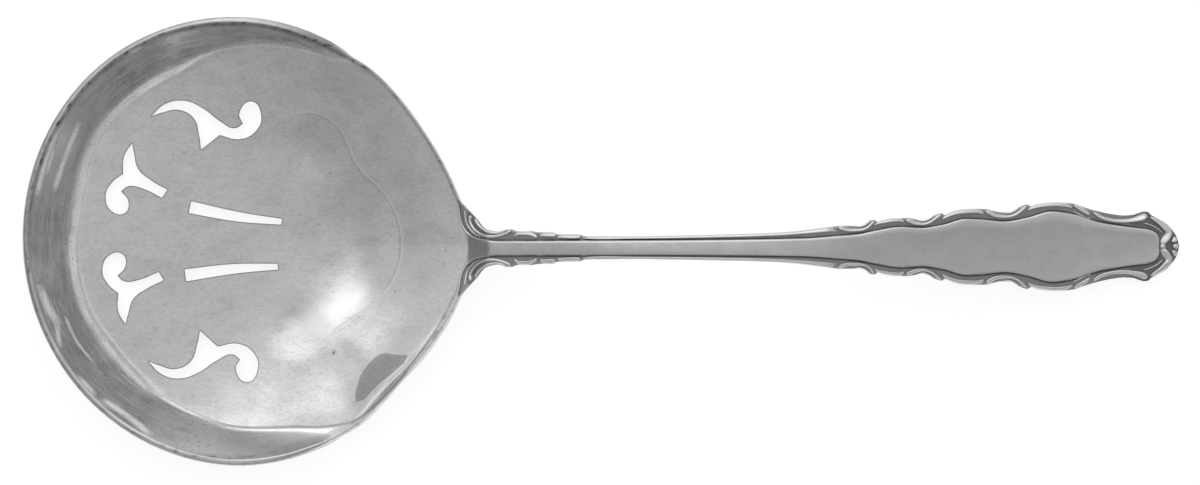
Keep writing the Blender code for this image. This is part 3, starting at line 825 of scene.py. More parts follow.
def pierced(mesh):
    """Mesh with the six pierced shapes cut from it, and without the empty material slot that the cut
    leaves."""
    blank = add_object("blank", mesh)
    prisms = [piercing_prism(*piercing) for piercing in PIERCINGS]
    for prism in prisms:
        cut = blank.modifiers.new(prism.name, "BOOLEAN")
        cut.operation = "DIFFERENCE"
        cut.solver = "MANIFOLD"
        cut.object = prism
    graph = bpy.context.evaluated_depsgraph_get()
    result = bpy.data.meshes.new_from_object(blank.evaluated_get(graph))
    result.materials.clear()
    for thing in (blank, *prisms):
        bpy.data.objects.remove(thing)
    return result


def scuff_share(x, y):
    """How much of a point of the wall is rubbed bright: all of it on a mark's line, less beside it
    and towards its ends."""
    share = np.zeros_like(x)
    for half, path in SCUFFS:
        line = along_points(path, SCUFF_STEPS)
        beside = eased(path_distance(x, y, line), 0.25 * half, half)
        ends = [np.hypot(x - end_x, y - end_y) for end_x, end_y in (line[0], line[-1])]
        share = np.maximum(share, (1.0 - beside) * eased(np.minimum(*ends), -0.3, 1.0))
    return share


def make_bowl(sizes, finish):
    """Pierced bowl, with the attributes that its finish reads."""
    mesh = pierced(shell_mesh(sizes.sheet, sizes.rim_round))
    points = vertex_array(mesh)
    x, y = world_to_bowl(points[:, 0], points[:, 1])
    share, angle = bowl_share(x, y)
    turned = degrees_of(angle)
    from_rim = (1.0 - share) * np.hypot(*bowl_outline(angle))
    top = eased(points[:, 2] - bowl_height(x, y, share, angle), -TOP_DEPTH, TOP_RUN)
    foot = wall_run(angle) - from_rim
    wall = eased(foot + LEDGE_RUN * ledge_share(turned), 0.0, WALL_FADE)
    front = eased(np.abs(turned), FRONT_TURN, FRONT_RUN)
    rim = (0.8 + 0.2 * front) * (1.0 - eased(from_rim, 0.0, DULL_WIDTH * (1.0 + front)))
    flange = flange_share(x)
    edge = hollow_edge(x, y, LOBE_BLEND)
    outlines = [pierced_outline(*piercing[1:]) for piercing in PIERCINGS]
    cut = np.min([outline_distance(x, y, outline) for outline in outlines], axis=0)
    x = x / MM
    y = y / MM
    # Painted highlight along a path in the hollow, which brightens the metal's colour.
    rubbed = 1.0 - eased(path_distance(x, y, np.array(HIGHLIGHT_PATH)), 0.0, HIGHLIGHT_SPREAD)
    away = FAR_AWAY * (1.0 - top)
    # In the order of BOWL_MARKS: shares from 0 to 1, and distances in mm.
    marks = (
        wall * (0.25 + 0.75 * top),
        monotone_through(WALL_REFLECTION, turned),
        foot / MM,
        rim * (0.3 + 0.7 * top),
        top * scuff_share(x, y),
        np.minimum(cut / MM, CUT_REACH),
        lip_share(turned),
        edge / MM,
        top * flange,
        top * rubbed * eased(-edge, 0.0, HOLLOW_FADE),
        outline_distance(x, y, np.array(DARK_REFLECTION)) + away,
        np.hypot(x - PIT[0], y - PIT[1]) + away,
    )
    for name, values in zip(BOWL_MARKS, marks):
        set_attribute(mesh, name, values)
    ring = np.stack([angle * RING_REACH, from_rim / MM, np.zeros_like(angle)], axis=1)
    set_attribute(mesh, "ring", ring, "FLOAT_VECTOR", "vector")
    return add_piece("bowl_shell", mesh, silver_of_bowl(finish), 30.0)


def handle_stations():
    """Stations along the handle, as points on its axis, on the panel's edge and on its outer edge.

    In the shoulders the three points move along their own curves, so a station bends towards the
    bowl. Past the shoulders they share the station, and the panel's line goes on to the tip.
    """
    axis = np.linspace(RAMP_START, SHOULDER_END, SHOULDER_STATIONS)
    axis = np.stack([axis, np.zeros_like(axis)], axis=1)
    curves = (axis, *(along_points(table, SHOULDER_STATIONS) for table in (FLARE, SHOULDER)))
    stations = np.concatenate([
        np.arange(SHOULDER_END, STEM[0], FINE_STEP),
        np.arange(*STEM, STEM_STEP),
        np.arange(STEM[1], BLADE_END, FINE_STEP),
        BLADE_END + TIP_RUN * np.sin(0.5 * math.pi * np.linspace(0.0, 1.0, TIP_STATIONS)),
    ])
    outer = monotone_through(EDGE, stations)
    panel = np.maximum(monotone_through(PANEL, stations), 0.3 * outer)
    sides = (np.zeros_like(stations), panel, outer)
    return [
        np.concatenate([curve[:-1], np.stack([stations, side], axis=1)])
        for curve, side in zip(curves, sides)
    ]


def panel_distance(x, y):
    """Signed distance outside the plain panel, in mm, from points in mm: along the blade from its
    half width and slope, and near its two ends from the nearest point of its outline."""
    side = np.abs(y)
    step = 0.05
    slope = monotone_through(PANEL, x + step) - monotone_through(PANEL, x - step)
    distance = (side - monotone_through(PANEL, x)) / np.hypot(1.0, slope / (2.0 * step))
    flare = along_points(FLARE, FLARE_STEPS)
    blade = np.linspace(NEAR_END - 2.0, PANEL_END, CLOSING_STEPS)
    closing = np.stack([blade, monotone_through(PANEL, blade)], axis=1)
    cap = np.linspace(PANEL_CAP, 0.0, CAP_STEPS)
    cap = np.stack([np.full_like(cap, PANEL_END), cap], axis=1)
    for outline, near in ((flare, x < NEAR_FRONT), (np.concatenate([closing, cap]), x > NEAR_END)):
        gap_x = x[near][:, None] - outline[:, 0]
        gap = np.hypot(side[near][:, None] - outline[:, 1], gap_x).min(axis=1)
        distance[near] = np.where(distance[near] < 0.0, -gap, gap)
    front = x < SHOULDER_END
    flare_x = np.interp(side[front], flare[::-1, 1], flare[::-1, 0])
    beyond = (x[front] > flare_x) & (side[front] > STEM_HALF)
    distance[front] = np.where(beyond, 1.0, -1.0) * np.abs(distance[front])
    past_end = x > PANEL_END
    distance[past_end] = np.abs(distance[past_end])
    return distance


def spine_height(x, y):
    """Height of the handle's middle line, which meets a steep ramp up from the bowl's heel at an
    eased edge. Everything is in mm."""
    ramp = heel_height(np.minimum(x, HEEL_REACH), y) + RAMP_LIFT
    ramp = ramp + RAMP_SLOPE * np.maximum(x - RAMP_START, 0.0)
    lean = STEM_LEAN * eased(x, *LEAN_GROWS) * (1.0 - eased(x, *LEAN_FADES))
    return smooth_min(ramp, spline_through(SPINE, x), RAMP_BLEND) - lean * y


def groove_depth(x):
    """Depth of the border's ground under the panel's edge, in mm, which fades out on to the bowl."""
    return GROUND_DEPTH * eased(x, *GROUND_GROWS)


def handle_upper(x, y, outside):
    """Height of the handle's upper face, in mm: a plain panel that is domed on the stem and dished on
    the blade, a rounded step down at its edge, and sunk ground out to the handle's edge."""
    half = np.maximum(monotone_through(PANEL, np.maximum(x, SHOULDER_END)), 0.3)
    crown = PANEL_DOME - PANEL_DISH * eased(x, *DISH_GROWS)
    dome = crown * (1.0 - np.clip(np.abs(y) / half, 0.0, 1.0) ** 2) * eased(x, *DOME_GROWS)
    depth = groove_depth(x)
    rounded = ROUND_SHARE * depth
    step = (1.0 - ROUND_SHARE) * depth * eased(outside, 0.0, STEP_RUN)
    dome = dome - rounded * np.clip(1.0 + outside / ROUND_RUN, 0.0, 1.0) ** 2
    return spine_height(x, y) + np.where(outside < 0.0, dome, -rounded - step)


def handle_plan():
    """Plan of the handle's upper face, in mm: a row for each station from one edge to the other,
    with its points crowded on both sides of the panel's edge."""
    axis, panel, outer = handle_stations()
    reach = np.maximum(np.hypot(*(panel - axis).T), 0.4)[:, None]
    span = np.maximum(np.hypot(*(outer - panel).T), 0.3)[:, None]
    even = np.linspace(0.0, 1.0, EVEN_STEPS + 1)[1:]
    far = np.broadcast_to(INSIDE_FAR + (1.0 - INSIDE_FAR) * even**1.2, (len(reach), EVEN_STEPS))
    inner = np.concatenate([np.array(INSIDE_NEAR) / reach, far], axis=1)
    inner = np.sort(np.clip(inner, 0.0, 1.0), axis=1)
    near = OUTSIDE_NEAR / span
    out = np.concatenate([near * np.linspace(0.25, 1.0, 4), near + (1.0 - near) * even], axis=1)
    inward = panel[:, None] + (axis - panel)[:, None] * inner[..., None]
    outward = panel[:, None] + (outer - panel)[:, None] * out[..., None]
    half = np.concatenate([inward[:, ::-1], outward], axis=1)
    rows = np.concatenate([half[:, :0:-1] * (1.0, -1.0), half], axis=1)
    return rows[..., 0], rows[..., 1]


def handle_tones(x, y, outside):
    """How dark the handle's ground is, and how strong the painted highlight close inside the panel's
    edge is, from 0 to 1.

    The ground is paler in its middle, short of the tip, and in the last points of a row, short of the
    widest place. The painted highlight lies close inside the panel's edge, stronger on the +Y side,
    from which the light falls.
    """
    faded = eased(outside, 0.12, 0.2) * (1.0 - eased(x, 68.5, 1.0))
    ground = eased(outside, -0.02, 0.09) * (1.0 - 0.3 * faded)
    column = np.arange(x.shape[1])
    to_edge = np.minimum(column, column[::-1])
    ground = ground * np.where(x < 65.2, 0.15 + 0.85 * eased(to_edge, 0.0, 3.0), 1.0)
    # Painted highlight close inside the panel's edge, stronger towards +Y.
    rubbed = eased(outside, -0.28, 0.12) * (1.0 - eased(outside, -0.05, 0.05))
    return ground, 0.8 * rubbed * (0.4 + 0.6 * eased(y, -0.4, 0.8)) * eased(x, 1.0, 1.0)


def handle_mesh(edge_round):
    """Closed body of the handle. Each row is one station, which runs over the upper face from one
    edge to the other, round the edge and back across the underside."""
    x, y = handle_plan()
    outside = panel_distance(x.ravel(), y.ravel())
    z = handle_upper(x.ravel(), y.ravel(), outside).reshape(x.shape)
    outside = outside.reshape(x.shape)
    z[:, [0, -1]] -= EDGE_DROP
    width = x.shape[1]
    picked = np.round(np.linspace(width - 1, 0, BACK_COLUMNS)).astype(int)
    back_x = x[:, picked]
    back_y = y[:, picked]
    depth = monotone_through(DEPTH, back_x) * (1.0 - BACK_ROUND * (back_y / np.abs(y[:, -1:])) ** 2)
    back_z = np.minimum(spline_through(SPINE, back_x) - depth, z[:, picked] - LEAST_DEPTH)
    back_y[:, [0, -1]] -= np.sign(back_y[:, [0, -1]]) * edge_round / MM
    upper = np.stack([x, y, z], axis=-1)
    back = np.stack([back_x, back_y, np.maximum(back_z, 0.0)], axis=-1)
    rows = np.concatenate([upper, back], axis=1)
    count = rows.shape[1]
    ends = []
    for first in (0, (len(rows) - 1) * count):
        for i in range(BACK_COLUMNS - 1):
            face = [*range(picked[i], picked[i + 1] - 1, -1), width + i + 1, width + i]
            ends.append([first + corner for corner in face])
    mesh = mesh_from_quads("handle", handle_to_world(rows), grid_quads(len(rows), count), ends)
    # The body's crest attribute holds the painted highlight along the panel's edge.
    for name, tone in zip(("patina", "crest"), handle_tones(x, y, outside)):
        set_attribute(mesh, name, np.concatenate([tone, np.zeros_like(back_z)], axis=1))
    return mesh


def make_handle(sizes, finish):
    """Body of the handle, with the attributes that its finish reads."""
    return add_piece("handle_body", handle_mesh(sizes.edge_round), silver_of_handle(finish), 50.0)


def scroll_rows(rise, points, side):
    """Rows of a raised scroll and how dark they are: a half round of changing width carried along a
    curve on the handle's ground, with round ends, and its flat back sunk in the ground."""
    x, y, width = along_points(points, SCROLL_STEPS).T
    y = y * side
    width = np.maximum(width, LEAST_WIDTH)
    gone = np.concatenate([[0.0], np.cumsum(np.hypot(np.diff(x), np.diff(y)))])
    to_end = np.minimum(gone, gone[-1] - gone)
    round_end = 1.0 - (1.0 - np.minimum(to_end / width, 1.0)) ** 2
    round_end = np.sqrt(np.clip(round_end, 0.02, 1.0))
    along = unit(np.stack([np.gradient(x), np.gradient(y)], axis=1))
    turn = np.linspace(0.0, math.pi, SCROLL_SIDES - 3)
    profile_y = np.concatenate([np.cos(turn), [-0.8, 0.0, 0.8]])
    profile_z = np.concatenate([np.sin(turn) ** 0.6, [-0.6, -0.6, -0.6]])
    aside = (width * round_end)[:, None] * profile_y
    ground = (spine_height(x, y) - groove_depth(x))[:, None]
    crest = (np.minimum(SCROLL_RISE * rise, 2.0 * width) * round_end)[:, None]
    lean = SCROLL_LEAN * eased(x, *FALL_GROWS) * eased(np.abs(y), 0.0, 0.4)
    fall = (lean * along[:, 0] * side)[:, None] * aside
    z = ground + crest * profile_z - SCROLL_SUNK - fall
    z = np.where(profile_z < 0.0, ground - BACK_SUNK, z)
    dark = np.broadcast_to(1.0 - eased(profile_z, 0.05, 0.45), z.shape)
    x = x[:, None] - along[:, 1:] * aside
    y = y[:, None] + along[:, :1] * aside
    return np.stack([x, y, z], axis=-1), dark


def make_scrolls(name, groups, finish):
    """One piece of many scrolls, each a closed tube. A group is a table of scrolls and its sides."""
    tubes = [
        scroll_rows(rise, path, side)
        for scrolls, sides in groups
        for rise, path in scrolls
        for side in sides
    ]
    points = handle_to_world(np.concatenate([rows for rows, _ in tubes]))
    dark = np.concatenate([shade for _, shade in tubes])
    firsts = np.arange(len(tubes)) * SCROLL_STEPS * SCROLL_SIDES
    faces = [tube_faces(SCROLL_STEPS, SCROLL_SIDES, first) for first in firsts]
    quads = np.concatenate([sides for sides, _ in faces])
    mesh = mesh_from_quads(name, points, quads, [end for _, ends in faces for end in ends])
    set_attribute(mesh, "patina", dark)
    set_attribute(mesh, "crest", 1.0 - dark)
    return add_piece(name, mesh, silver_of_handle(finish), 60.0)


def make_solder(finish):
    """Bead of solder under the heel: a round section, a little uneven, carried across the joint."""
    across = np.linspace(-BEAD_HALF, BEAD_HALF, BEAD_STEPS)
    front = BEAD_FRONT - BEAD_BEND * np.abs(across)
    middle = heel_height(front, across) - SHEET / MM - BEAD_HANG
    ends = np.sqrt(np.clip(1.0 - (np.abs(across) / (BEAD_HALF + 0.02)) ** 6, 0.01, 1.0))
    uneven = 0.03 * np.sin(2.3 * across) + 0.02 * np.sin(5.1 * across + 1.0)
    radius = ((BEAD_RADIUS + uneven) * ends)[:, None]
    turn = np.linspace(0.0, 2.0 * math.pi, BEAD_SIDES, endpoint=False)
    x = front[:, None] + radius * np.cos(turn)
    z = middle[:, None] + radius * np.sin(turn)
    rows = np.stack([x, np.broadcast_to(across[:, None], x.shape), z], axis=-1)
    mesh = mesh_from_quads("solder", handle_to_world(rows), *tube_faces(BEAD_STEPS, BEAD_SIDES))
    return add_piece("solder_bead", mesh, solder_metal(finish), 60.0)


def add_node(tree, kind, **settings):
    """New node of a tree, with its settings."""
    node = tree.nodes.new(kind)
    for name, value in settings.items():
        setattr(node, name, value)
    return node


def put(socket, value):
    """Links another node's output to a socket, or sets it to a number, a vector or a colour."""
    if isinstance(value, bpy.types.NodeSocket):
        socket.id_data.links.new(value, socket)
    elif socket.type == "RGBA":
        socket.default_value = (*value, 1.0)
    else:
        socket.default_value = value


def wire(node, sockets):
    """Links or sets several of a node's sockets by name."""
    for name, value in sockets.items():
        put(node.inputs[name], value)


def combine(operation, *values):
    """Value of a chain of math nodes of one operation. The first value is another node's output."""
    result = values[0]
    for value in values[1:]:
        node = add_node(result.id_data, "ShaderNodeMath", operation=operation)
        put(node.inputs[0], result)
        put(node.inputs[1], value)
        result = node.outputs["Value"]
    return result


def plus(*values):
    """Sum of the values."""
    return combine("ADD", *values)


def less(*values):
    """First value less the others."""
    return combine("SUBTRACT", *values)


def times(*values):
    """Product of the values."""
    return combine("MULTIPLY", *values)


def most(*values):
    """Largest of the values."""
    return combine("MAXIMUM", *values)


def remap(value, low, high, to_low=0.0, to_high=1.0, kind="SMOOTHSTEP"):
    """Value carried from one range to another, and held at the ends of it."""
    node = add_node(value.id_data, "ShaderNodeMapRange", interpolation_type=kind)
    wire(node, {"Value": value, "From Min": low, "From Max": high})
    wire(node, {"To Min": to_low, "To Max": to_high})
    return node.outputs["Result"]


def line_along(value, middle, full, none):
    """Line where a value is near its middle: full within one difference, and none past another."""
    return remap(combine("ABSOLUTE", less(value, middle), 0.0), full, none, 1.0, 0.0)


def stretched_noise(coordinates, scale, detail=4.0, roughness=0.5):
    """Noise on a piece's own coordinates, with its grains drawn out along one direction."""
    mapping = add_node(coordinates.id_data, "ShaderNodeMapping")
    wire(mapping, {"Vector": coordinates, "Scale": scale})
    noise = add_node(coordinates.id_data, "ShaderNodeTexNoise")
    wire(noise, {"Vector": mapping.outputs["Vector"], "Scale": 1.0})
    wire(noise, {"Detail": detail, "Roughness": roughness})
    return noise.outputs["Fac"]


def mixed_colour(amount, one, other):
    """Colour that goes from one to the other as the amount goes from 0 to 1."""
    node = add_node(amount.id_data, "ShaderNodeMix", data_type="RGBA")
    put(node.inputs["Factor"], amount)
    sockets = [socket for socket in node.inputs if socket.type == "RGBA"]
    for socket, value in zip(sockets, (one, other)):
        put(socket, value)
    return next(socket for socket in node.outputs if socket.type == "RGBA")


def attribute_of(tree, name, output="Fac"):
    """Value of a piece's own attribute."""
    return add_node(tree, "ShaderNodeAttribute", attribute_name=name).outputs[output]


def parts_of(vector):
    """The three parts of a vector."""
    node = add_node(vector.id_data, "ShaderNodeSeparateXYZ")
    put(node.inputs["Vector"], vector)
    return node.outputs


def new_material(name):
    """New material, with its shader."""
    material = bpy.data.materials.new(name)
    material.use_nodes = True
    return material, material.node_tree.nodes["Principled BSDF"]


def bare_metal(name):
    """New material of bare metal, with its shader and the piece's own coordinates."""
    material, shader = new_material(name)
    put(shader.inputs["Metallic"], 1.0)
    return material, shader, add_node(shader.id_data, "ShaderNodeTexCoord").outputs["Object"]


def finish_metal(shader, colour, roughness, height, strength, depth):
    """Gives a metal its colour, its roughness and a fine relief of a strength and a depth."""
    bump = add_node(shader.id_data, "ShaderNodeBump")
    wire(bump, {"Height": height, "Strength": strength, "Distance": depth})
    wire(shader, {"Base Color": colour, "Roughness": roughness, "Normal": bump.outputs["Normal"]})


def silver_of_bowl(finish):
    """Polished silver with fine lines from polishing, a faint bloom, small pits, scuffs, and painted
    light: a wall streaked with painted reflection, a dull nicked rim with painted shade, a painted
    highlight and shade along the hollow's edge, a painted highlight in the hollow and one painted dark
    reflection."""
    material, shader, place = bare_metal("bowl_silver")
    tree = material.node_tree
    mark = {name: attribute_of(tree, name) for name in BOWL_MARKS}
    wall = mark["wall"]
    ring = attribute_of(tree, "ring", "Vector")
    x, y, _ = parts_of(place)
    lines = stretched_noise(place, (160.0, 9000.0, 9000.0), 3.0)
    bloom = stretched_noise(place, (300.0, 520.0, 520.0), 7.0, 0.65)
    grain = stretched_noise(place, (2200.0, 4200.0, 4200.0), 4.0, 0.6)
    streaks = stretched_noise(ring, (0.16, 2.0, 1.0), 7.0, 0.72)
    blotches = stretched_noise(ring, (0.5, 1.1, 1.0))

    spots = add_node(tree, "ShaderNodeTexVoronoi")
    wire(spots, {"Vector": place, "Scale": 420.0})
    sparse = remap(stretched_noise(place, (130.0, 130.0, 130.0), 1.0), 0.56, 0.64)
    pits = times(remap(spots.outputs["Distance"], 0.03, 0.08, 1.0, 0.0), sparse)
    hole = plus(mark["pit"], remap(grain, 0.3, 0.7, -0.25, 0.25, "LINEAR"))
    hole = remap(hole, 0.16, 0.26, 1.0, 0.0)
    specks = times(remap(stretched_noise(ring, (3.0, 7.0, 1.0), 3.0), 0.6, 0.68), wall)
    scratches = remap(stretched_noise(ring, (0.12, 9.0, 1.0), 2.0), 0.6, 0.66, 0.0, 0.7)
    scratches = times(scratches, wall)
    torn = remap(stretched_noise(ring, (0.3, 5.0, 1.0), 3.0), 0.32, 0.5, 0.35, 1.0)
    scuff = times(mark["scuff"], torn)
    # Nicked rim, with painted shade that darkens it more towards +Y and a little less on the lip.
    nicks_and_shade = remap(stretched_noise(ring, (1.1, 1.6, 1.0), 5.0), 0.5, 0.64, 0.0, 0.36)
    nicks_and_shade = plus(nicks_and_shade, remap(y, -0.012, 0.008, 0.35, 0.68))
    nicks_and_shade = times(nicks_and_shade, remap(mark["lip"], 0.0, 1.0, 1.0, 0.8))
    ledge = remap(mark["foot"], -0.2, 0.0, 1.0, 0.0)
    # Dark line along the wall's foot on the lower left.
    foot_line = times(line_along(mark["foot"], 0.05, 0.08, 0.26), remap(y, -0.014, -0.01, 1.0, 0.0))
    foot_line = times(foot_line, remap(x, -0.016, -0.009))
    # Painted highlight along the hollow's edge, also raised in the relief, and painted shade just
    # inside it on the upper side.
    edge = times(line_along(mark["hollow_edge"], 0.06, 0.03, 0.13), mark["hollow_crisp"])
    edge_shade = times(line_along(mark["hollow_edge"], -0.12, 0.04, 0.14), mark["hollow_crisp"])
    edge_shade = times(edge_shade, remap(y, -0.006, -0.002))
    # Painted dark reflection on the floor near the heel, laid in as a darker patch.
    dark_reflection = remap(mark["dark_reflection"], 0.0, 0.06, 1.0, 0.0)

    # Darker metal from bloom and grain, pits, the painted dark reflection and the painted shade inside
    # the hollow's edge; the painted highlight on the edge lightens it.
    dark = plus(remap(bloom, 0.35, 0.75, 0.07, 0.33), remap(grain, 0.4, 0.8, 0.0, 0.34))
    dark = plus(most(dark, times(pits, 0.9)), times(dark_reflection, 0.75), times(edge_shade, 0.22))
    metal = mixed_colour(less(dark, times(edge, 0.3)), finish.silver, finish.tarnish)
    # Painted reflection on the wall: streaks, blotches, a brighter band on the ledge and a tone by
    # angle, with the scratches, mixed towards the bright colour.
    bright = plus(remap(streaks, 0.3, 0.7, 1.05, 0.2), remap(blotches, 0.35, 0.7, 0.25, -0.3))
    bright = plus(bright, times(ledge, 0.5), scratches, mark["tone"])
    metal = mixed_colour(times(wall, bright), metal, finish.painted_sheen)
    # Painted highlight in the hollow, mixed towards the bright colour.
    metal = mixed_colour(times(mark["painted_highlight"], 0.75), metal, finish.painted_sheen)
    metal = mixed_colour(scuff, metal, finish.scuff)
    # Darker metal: the nicked rim with its painted shade, pits, specks, the dark line at the wall's
    # foot and lines along the pierced edges.
    worn = most(times(mark["rim"], nicks_and_shade), times(hole, 0.9), times(specks, 0.5), times(foot_line, 0.55))
    worn = most(worn, remap(mark["cut"], 0.06, 0.16, 0.6, 0.0))
    metal = mixed_colour(worn, metal, finish.groove)

    rough = plus(remap(bloom, 0.3, 0.75, 0.15, 0.175), remap(grain, 0.4, 0.8, 0.0, 0.025))
    rough = plus(rough, times(mark["rim"], 0.2), times(wall, 0.08), times(scuff, 0.25))
    height = plus(times(lines, 0.2), times(edge, 3.0), times(wall, streaks, 3.0))
    height = less(height, times(pits, 2.0), times(scratches, 2.0))
    finish_metal(shader, metal, rough, height, 0.06, 0.02 * MM)
    put(shader.inputs["Metallic"], remap(scuff, 0.0, 1.0, 1.0, 0.3, "LINEAR"))
    return material


def silver_of_handle(finish):
    """Satin silver with a soft grain, worn bright on its crests, which also carry a painted highlight,
    and dark in its grooves. The handle and its scrolls share it."""
    material = bpy.data.materials.get("handle_silver")
    if material:
        return material
    material, shader, place = bare_metal("handle_silver")
    patina = attribute_of(material.node_tree, "patina")
    crest = attribute_of(material.node_tree, "crest")
    lines = stretched_noise(place, (240.0, 6000.0, 6000.0), 3.0)
    bloom = stretched_noise(place, (500.0, 700.0, 700.0), 6.0, 0.6)
    grain = stretched_noise(place, (4200.0, 4200.0, 4200.0), 3.0)
    cloud = plus(remap(bloom, 0.35, 0.75, 0.0, 0.25), remap(grain, 0.4, 0.8, 0.0, 0.2))
    metal = mixed_colour(cloud, finish.satin, finish.tarnish)
    # Crests worn bright, with a painted highlight on them and along the panel's edge.
    metal = mixed_colour(crest, metal, finish.crest)
    metal = mixed_colour(times(patina, remap(grain, 0.2, 0.6, 0.92, 0.76)), metal, finish.groove)
    rough = plus(remap(bloom, 0.3, 0.75, 0.24, 0.34), times(patina, 0.2))
    finish_metal(shader, metal, rough, plus(lines, grain), 0.15, 0.02 * MM)
    return material


def solder_metal(finish):
    """Dull solder with a grainy, slightly darker skin."""
    material, shader, place = bare_metal("solder_metal")
    grain = stretched_noise(place, (2400.0, 2400.0, 2400.0), 5.0)
    metal = mixed_colour(remap(grain, 0.35, 0.7, 0.1, 0.6), finish.silver, finish.tarnish)
    finish_metal(shader, metal, remap(grain, 0.3, 0.7, 0.3, 0.45), grain, 0.4, 0.04 * MM)
    return material


def make_floor(stage):
    """Wide pale floor. It is plain to the camera and in the metal, keeps the spoon's shadow, and lets
    a view from below through."""
    mesh = bpy.data.meshes.new("floor")
    corners = np.array([(-1.0, -1.0), (1.0, -1.0), (1.0, 1.0), (-1.0, 1.0)]) * FLOOR_HALF
    mesh.from_pydata([(x, y, -FLOOR_SUNK) for x, y in corners.tolist()], [], [(0, 1, 2, 3)])
    material, shader = new_material("pale_floor")
    tree = material.node_tree
    rays = add_node(tree, "ShaderNodeLightPath").outputs
    seen = most(rays["Is Camera Ray"], rays["Is Glossy Ray"], rays["Is Transmission Ray"])
    glow = times(seen, stage.floor_glow)
    wire(shader, {"Base Color": stage.floor_colour, "Roughness": 0.9, "Specular IOR Level": 0.0})
    wire(shader, {"Emission Color": (1.0, 1.0, 1.0), "Emission Strength": glow})
    mix = add_node(tree, "ShaderNodeMixShader")
    put(mix.inputs["Fac"], add_node(tree, "ShaderNodeNewGeometry").outputs["Backfacing"])
    put(mix.inputs[1], shader.outputs["BSDF"])
    put(mix.inputs[2], add_node(tree, "ShaderNodeBsdfTransparent").outputs["BSDF"])
    put(tree.nodes["Material Output"].inputs["Surface"], mix.outputs["Shader"])
    mesh.materials.append(material)
    add_object("floor", mesh)


def level_by(lean, levels):
    """Brightness from a table of (lean, level), smoothed from row to row."""
    ramp = add_node(lean.id_data, "ShaderNodeValToRGB")
    ramp.color_ramp.interpolation = "B_SPLINE"
    for at, _ in levels[1:-1]:
        ramp.color_ramp.elements.new(0.5 + 0.5 * at)
    for element, (at, level) in zip(ramp.color_ramp.elements, levels):
        element.position = 0.5 + 0.5 * at
        element.color = (level / SKY_TOP, level / SKY_TOP, level / SKY_TOP, 1.0)
    put(ramp.inputs["Fac"], remap(lean, -1.0, 1.0, kind="LINEAR"))
    return times(ramp.outputs["Color"], SKY_TOP)


def make_sky(stage):
    """Studio round the spoon: grey overhead with a brighter glow to one side, darker towards the
    horizon, and pale below it."""
    world = bpy.data.worlds.new("studio")
    bpy.context.scene.world = world
    world.use_nodes = True
    tree = world.node_tree
    x, y, z = parts_of(add_node(tree, "ShaderNodeTexCoord").outputs["Generated"])
    lit = level_by(y, SKY)
    plain = combine("MINIMUM", lit, SKY_PLAIN)
    glow = less(lit, plain)
    # The glow fades to -X, later where it is high, and to +X, less where it is highest.
    high = combine("MINIMUM", remap(y, 0.2, 0.28), remap(x, -0.47, -0.36, 0.12, 1.0))
    near = most(high, remap(x, -0.4, -0.26, 0.1, 1.0))
    kept = most(remap(x, -0.21, 0.04, 1.0, 0.3), remap(y, 0.4, 0.6))
    glow = times(glow, near, remap(x, 0.05, 0.4, 1.0, 0.3), kept)
    up = plus(times(plain, level_by(x, SKY_ALONG)), glow)
    up = times(up, remap(z, 0.05, 0.55, stage.horizon_level, stage.sky_level))
    level = most(up, remap(z, -0.02, 0.0, BELOW_LEVEL, 0.0))
    wire(tree.nodes["Background"], {"Color": (1.0, 1.0, 1.0), "Strength": level})


def make_side_light():
    """Flat soft light of one brightness, turned to face the spoon."""
    lamp = bpy.data.lights.new("side_light", "AREA")
    lamp.shape = "RECTANGLE"
    lamp.size, lamp.size_y = LIGHT_SIZE
    lamp.energy = LIGHT_LEVEL * math.pi * lamp.size * lamp.size_y
    light = add_object("side_light", lamp)
    light.location = LIGHT_PLACE
    x, y, z = LIGHT_PLACE
    tilt = math.atan2(math.hypot(x, y), z)
    light.rotation_euler = (tilt, 0.0, math.atan2(-y, -x) - 0.5 * math.pi)
    light.visible_camera = False


def make_camera(stage):
    """Camera straight over the spoon, turned a little so that the handle leans as it is seen to."""
    data = bpy.data.cameras.new("camera")
    data.lens = stage.lens
    data.sensor_width = SENSOR
    data.clip_start = 0.01
    data.clip_end = 20.0
    camera = add_object("camera", data)
    camera.location = (*stage.view_middle, stage.view_width * stage.lens / SENSOR + VIEW_HEIGHT)
    camera.rotation_euler = (0.0, 0.0, stage.view_turn)
    bpy.context.scene.camera = camera


def number_of(name, description, default, low, high, **settings):
    """Property for a number."""
    return bpy.props.FloatProperty(
        name=name, description=description, default=default, min=low, max=high, **settings
    )


def length_of(*settings):
    """Property for a length."""
    return number_of(*settings, unit="LENGTH", precision=5)


def colour_of(name, description, default):
    """Property for a colour."""
    return bpy.props.FloatVectorProperty(
        name=name, description=description, default=default, min=0.0, max=1.0, size=3, subtype="COLOR"
    )


class BowlSizes(bpy.types.PropertyGroup):
    """Sizes of the bowl"""

    sheet: length_of("Sheet", "Thickness of the bowl's metal", SHEET, 0.4 * MM, 1.5 * MM)
    rim_round: length_of(
        "Rim rounding", "Radius of the rim's two edges", 0.3 * MM, 0.1 * MM, 0.4 * MM
    )


class HandleSizes(bpy.types.PropertyGroup):
    """Sizes of the handle"""

    edge_round: length_of(
        "Edge rounding", "How far the back's edge is drawn in", 0.1 * MM, 0.0, 0.4 * MM
    )


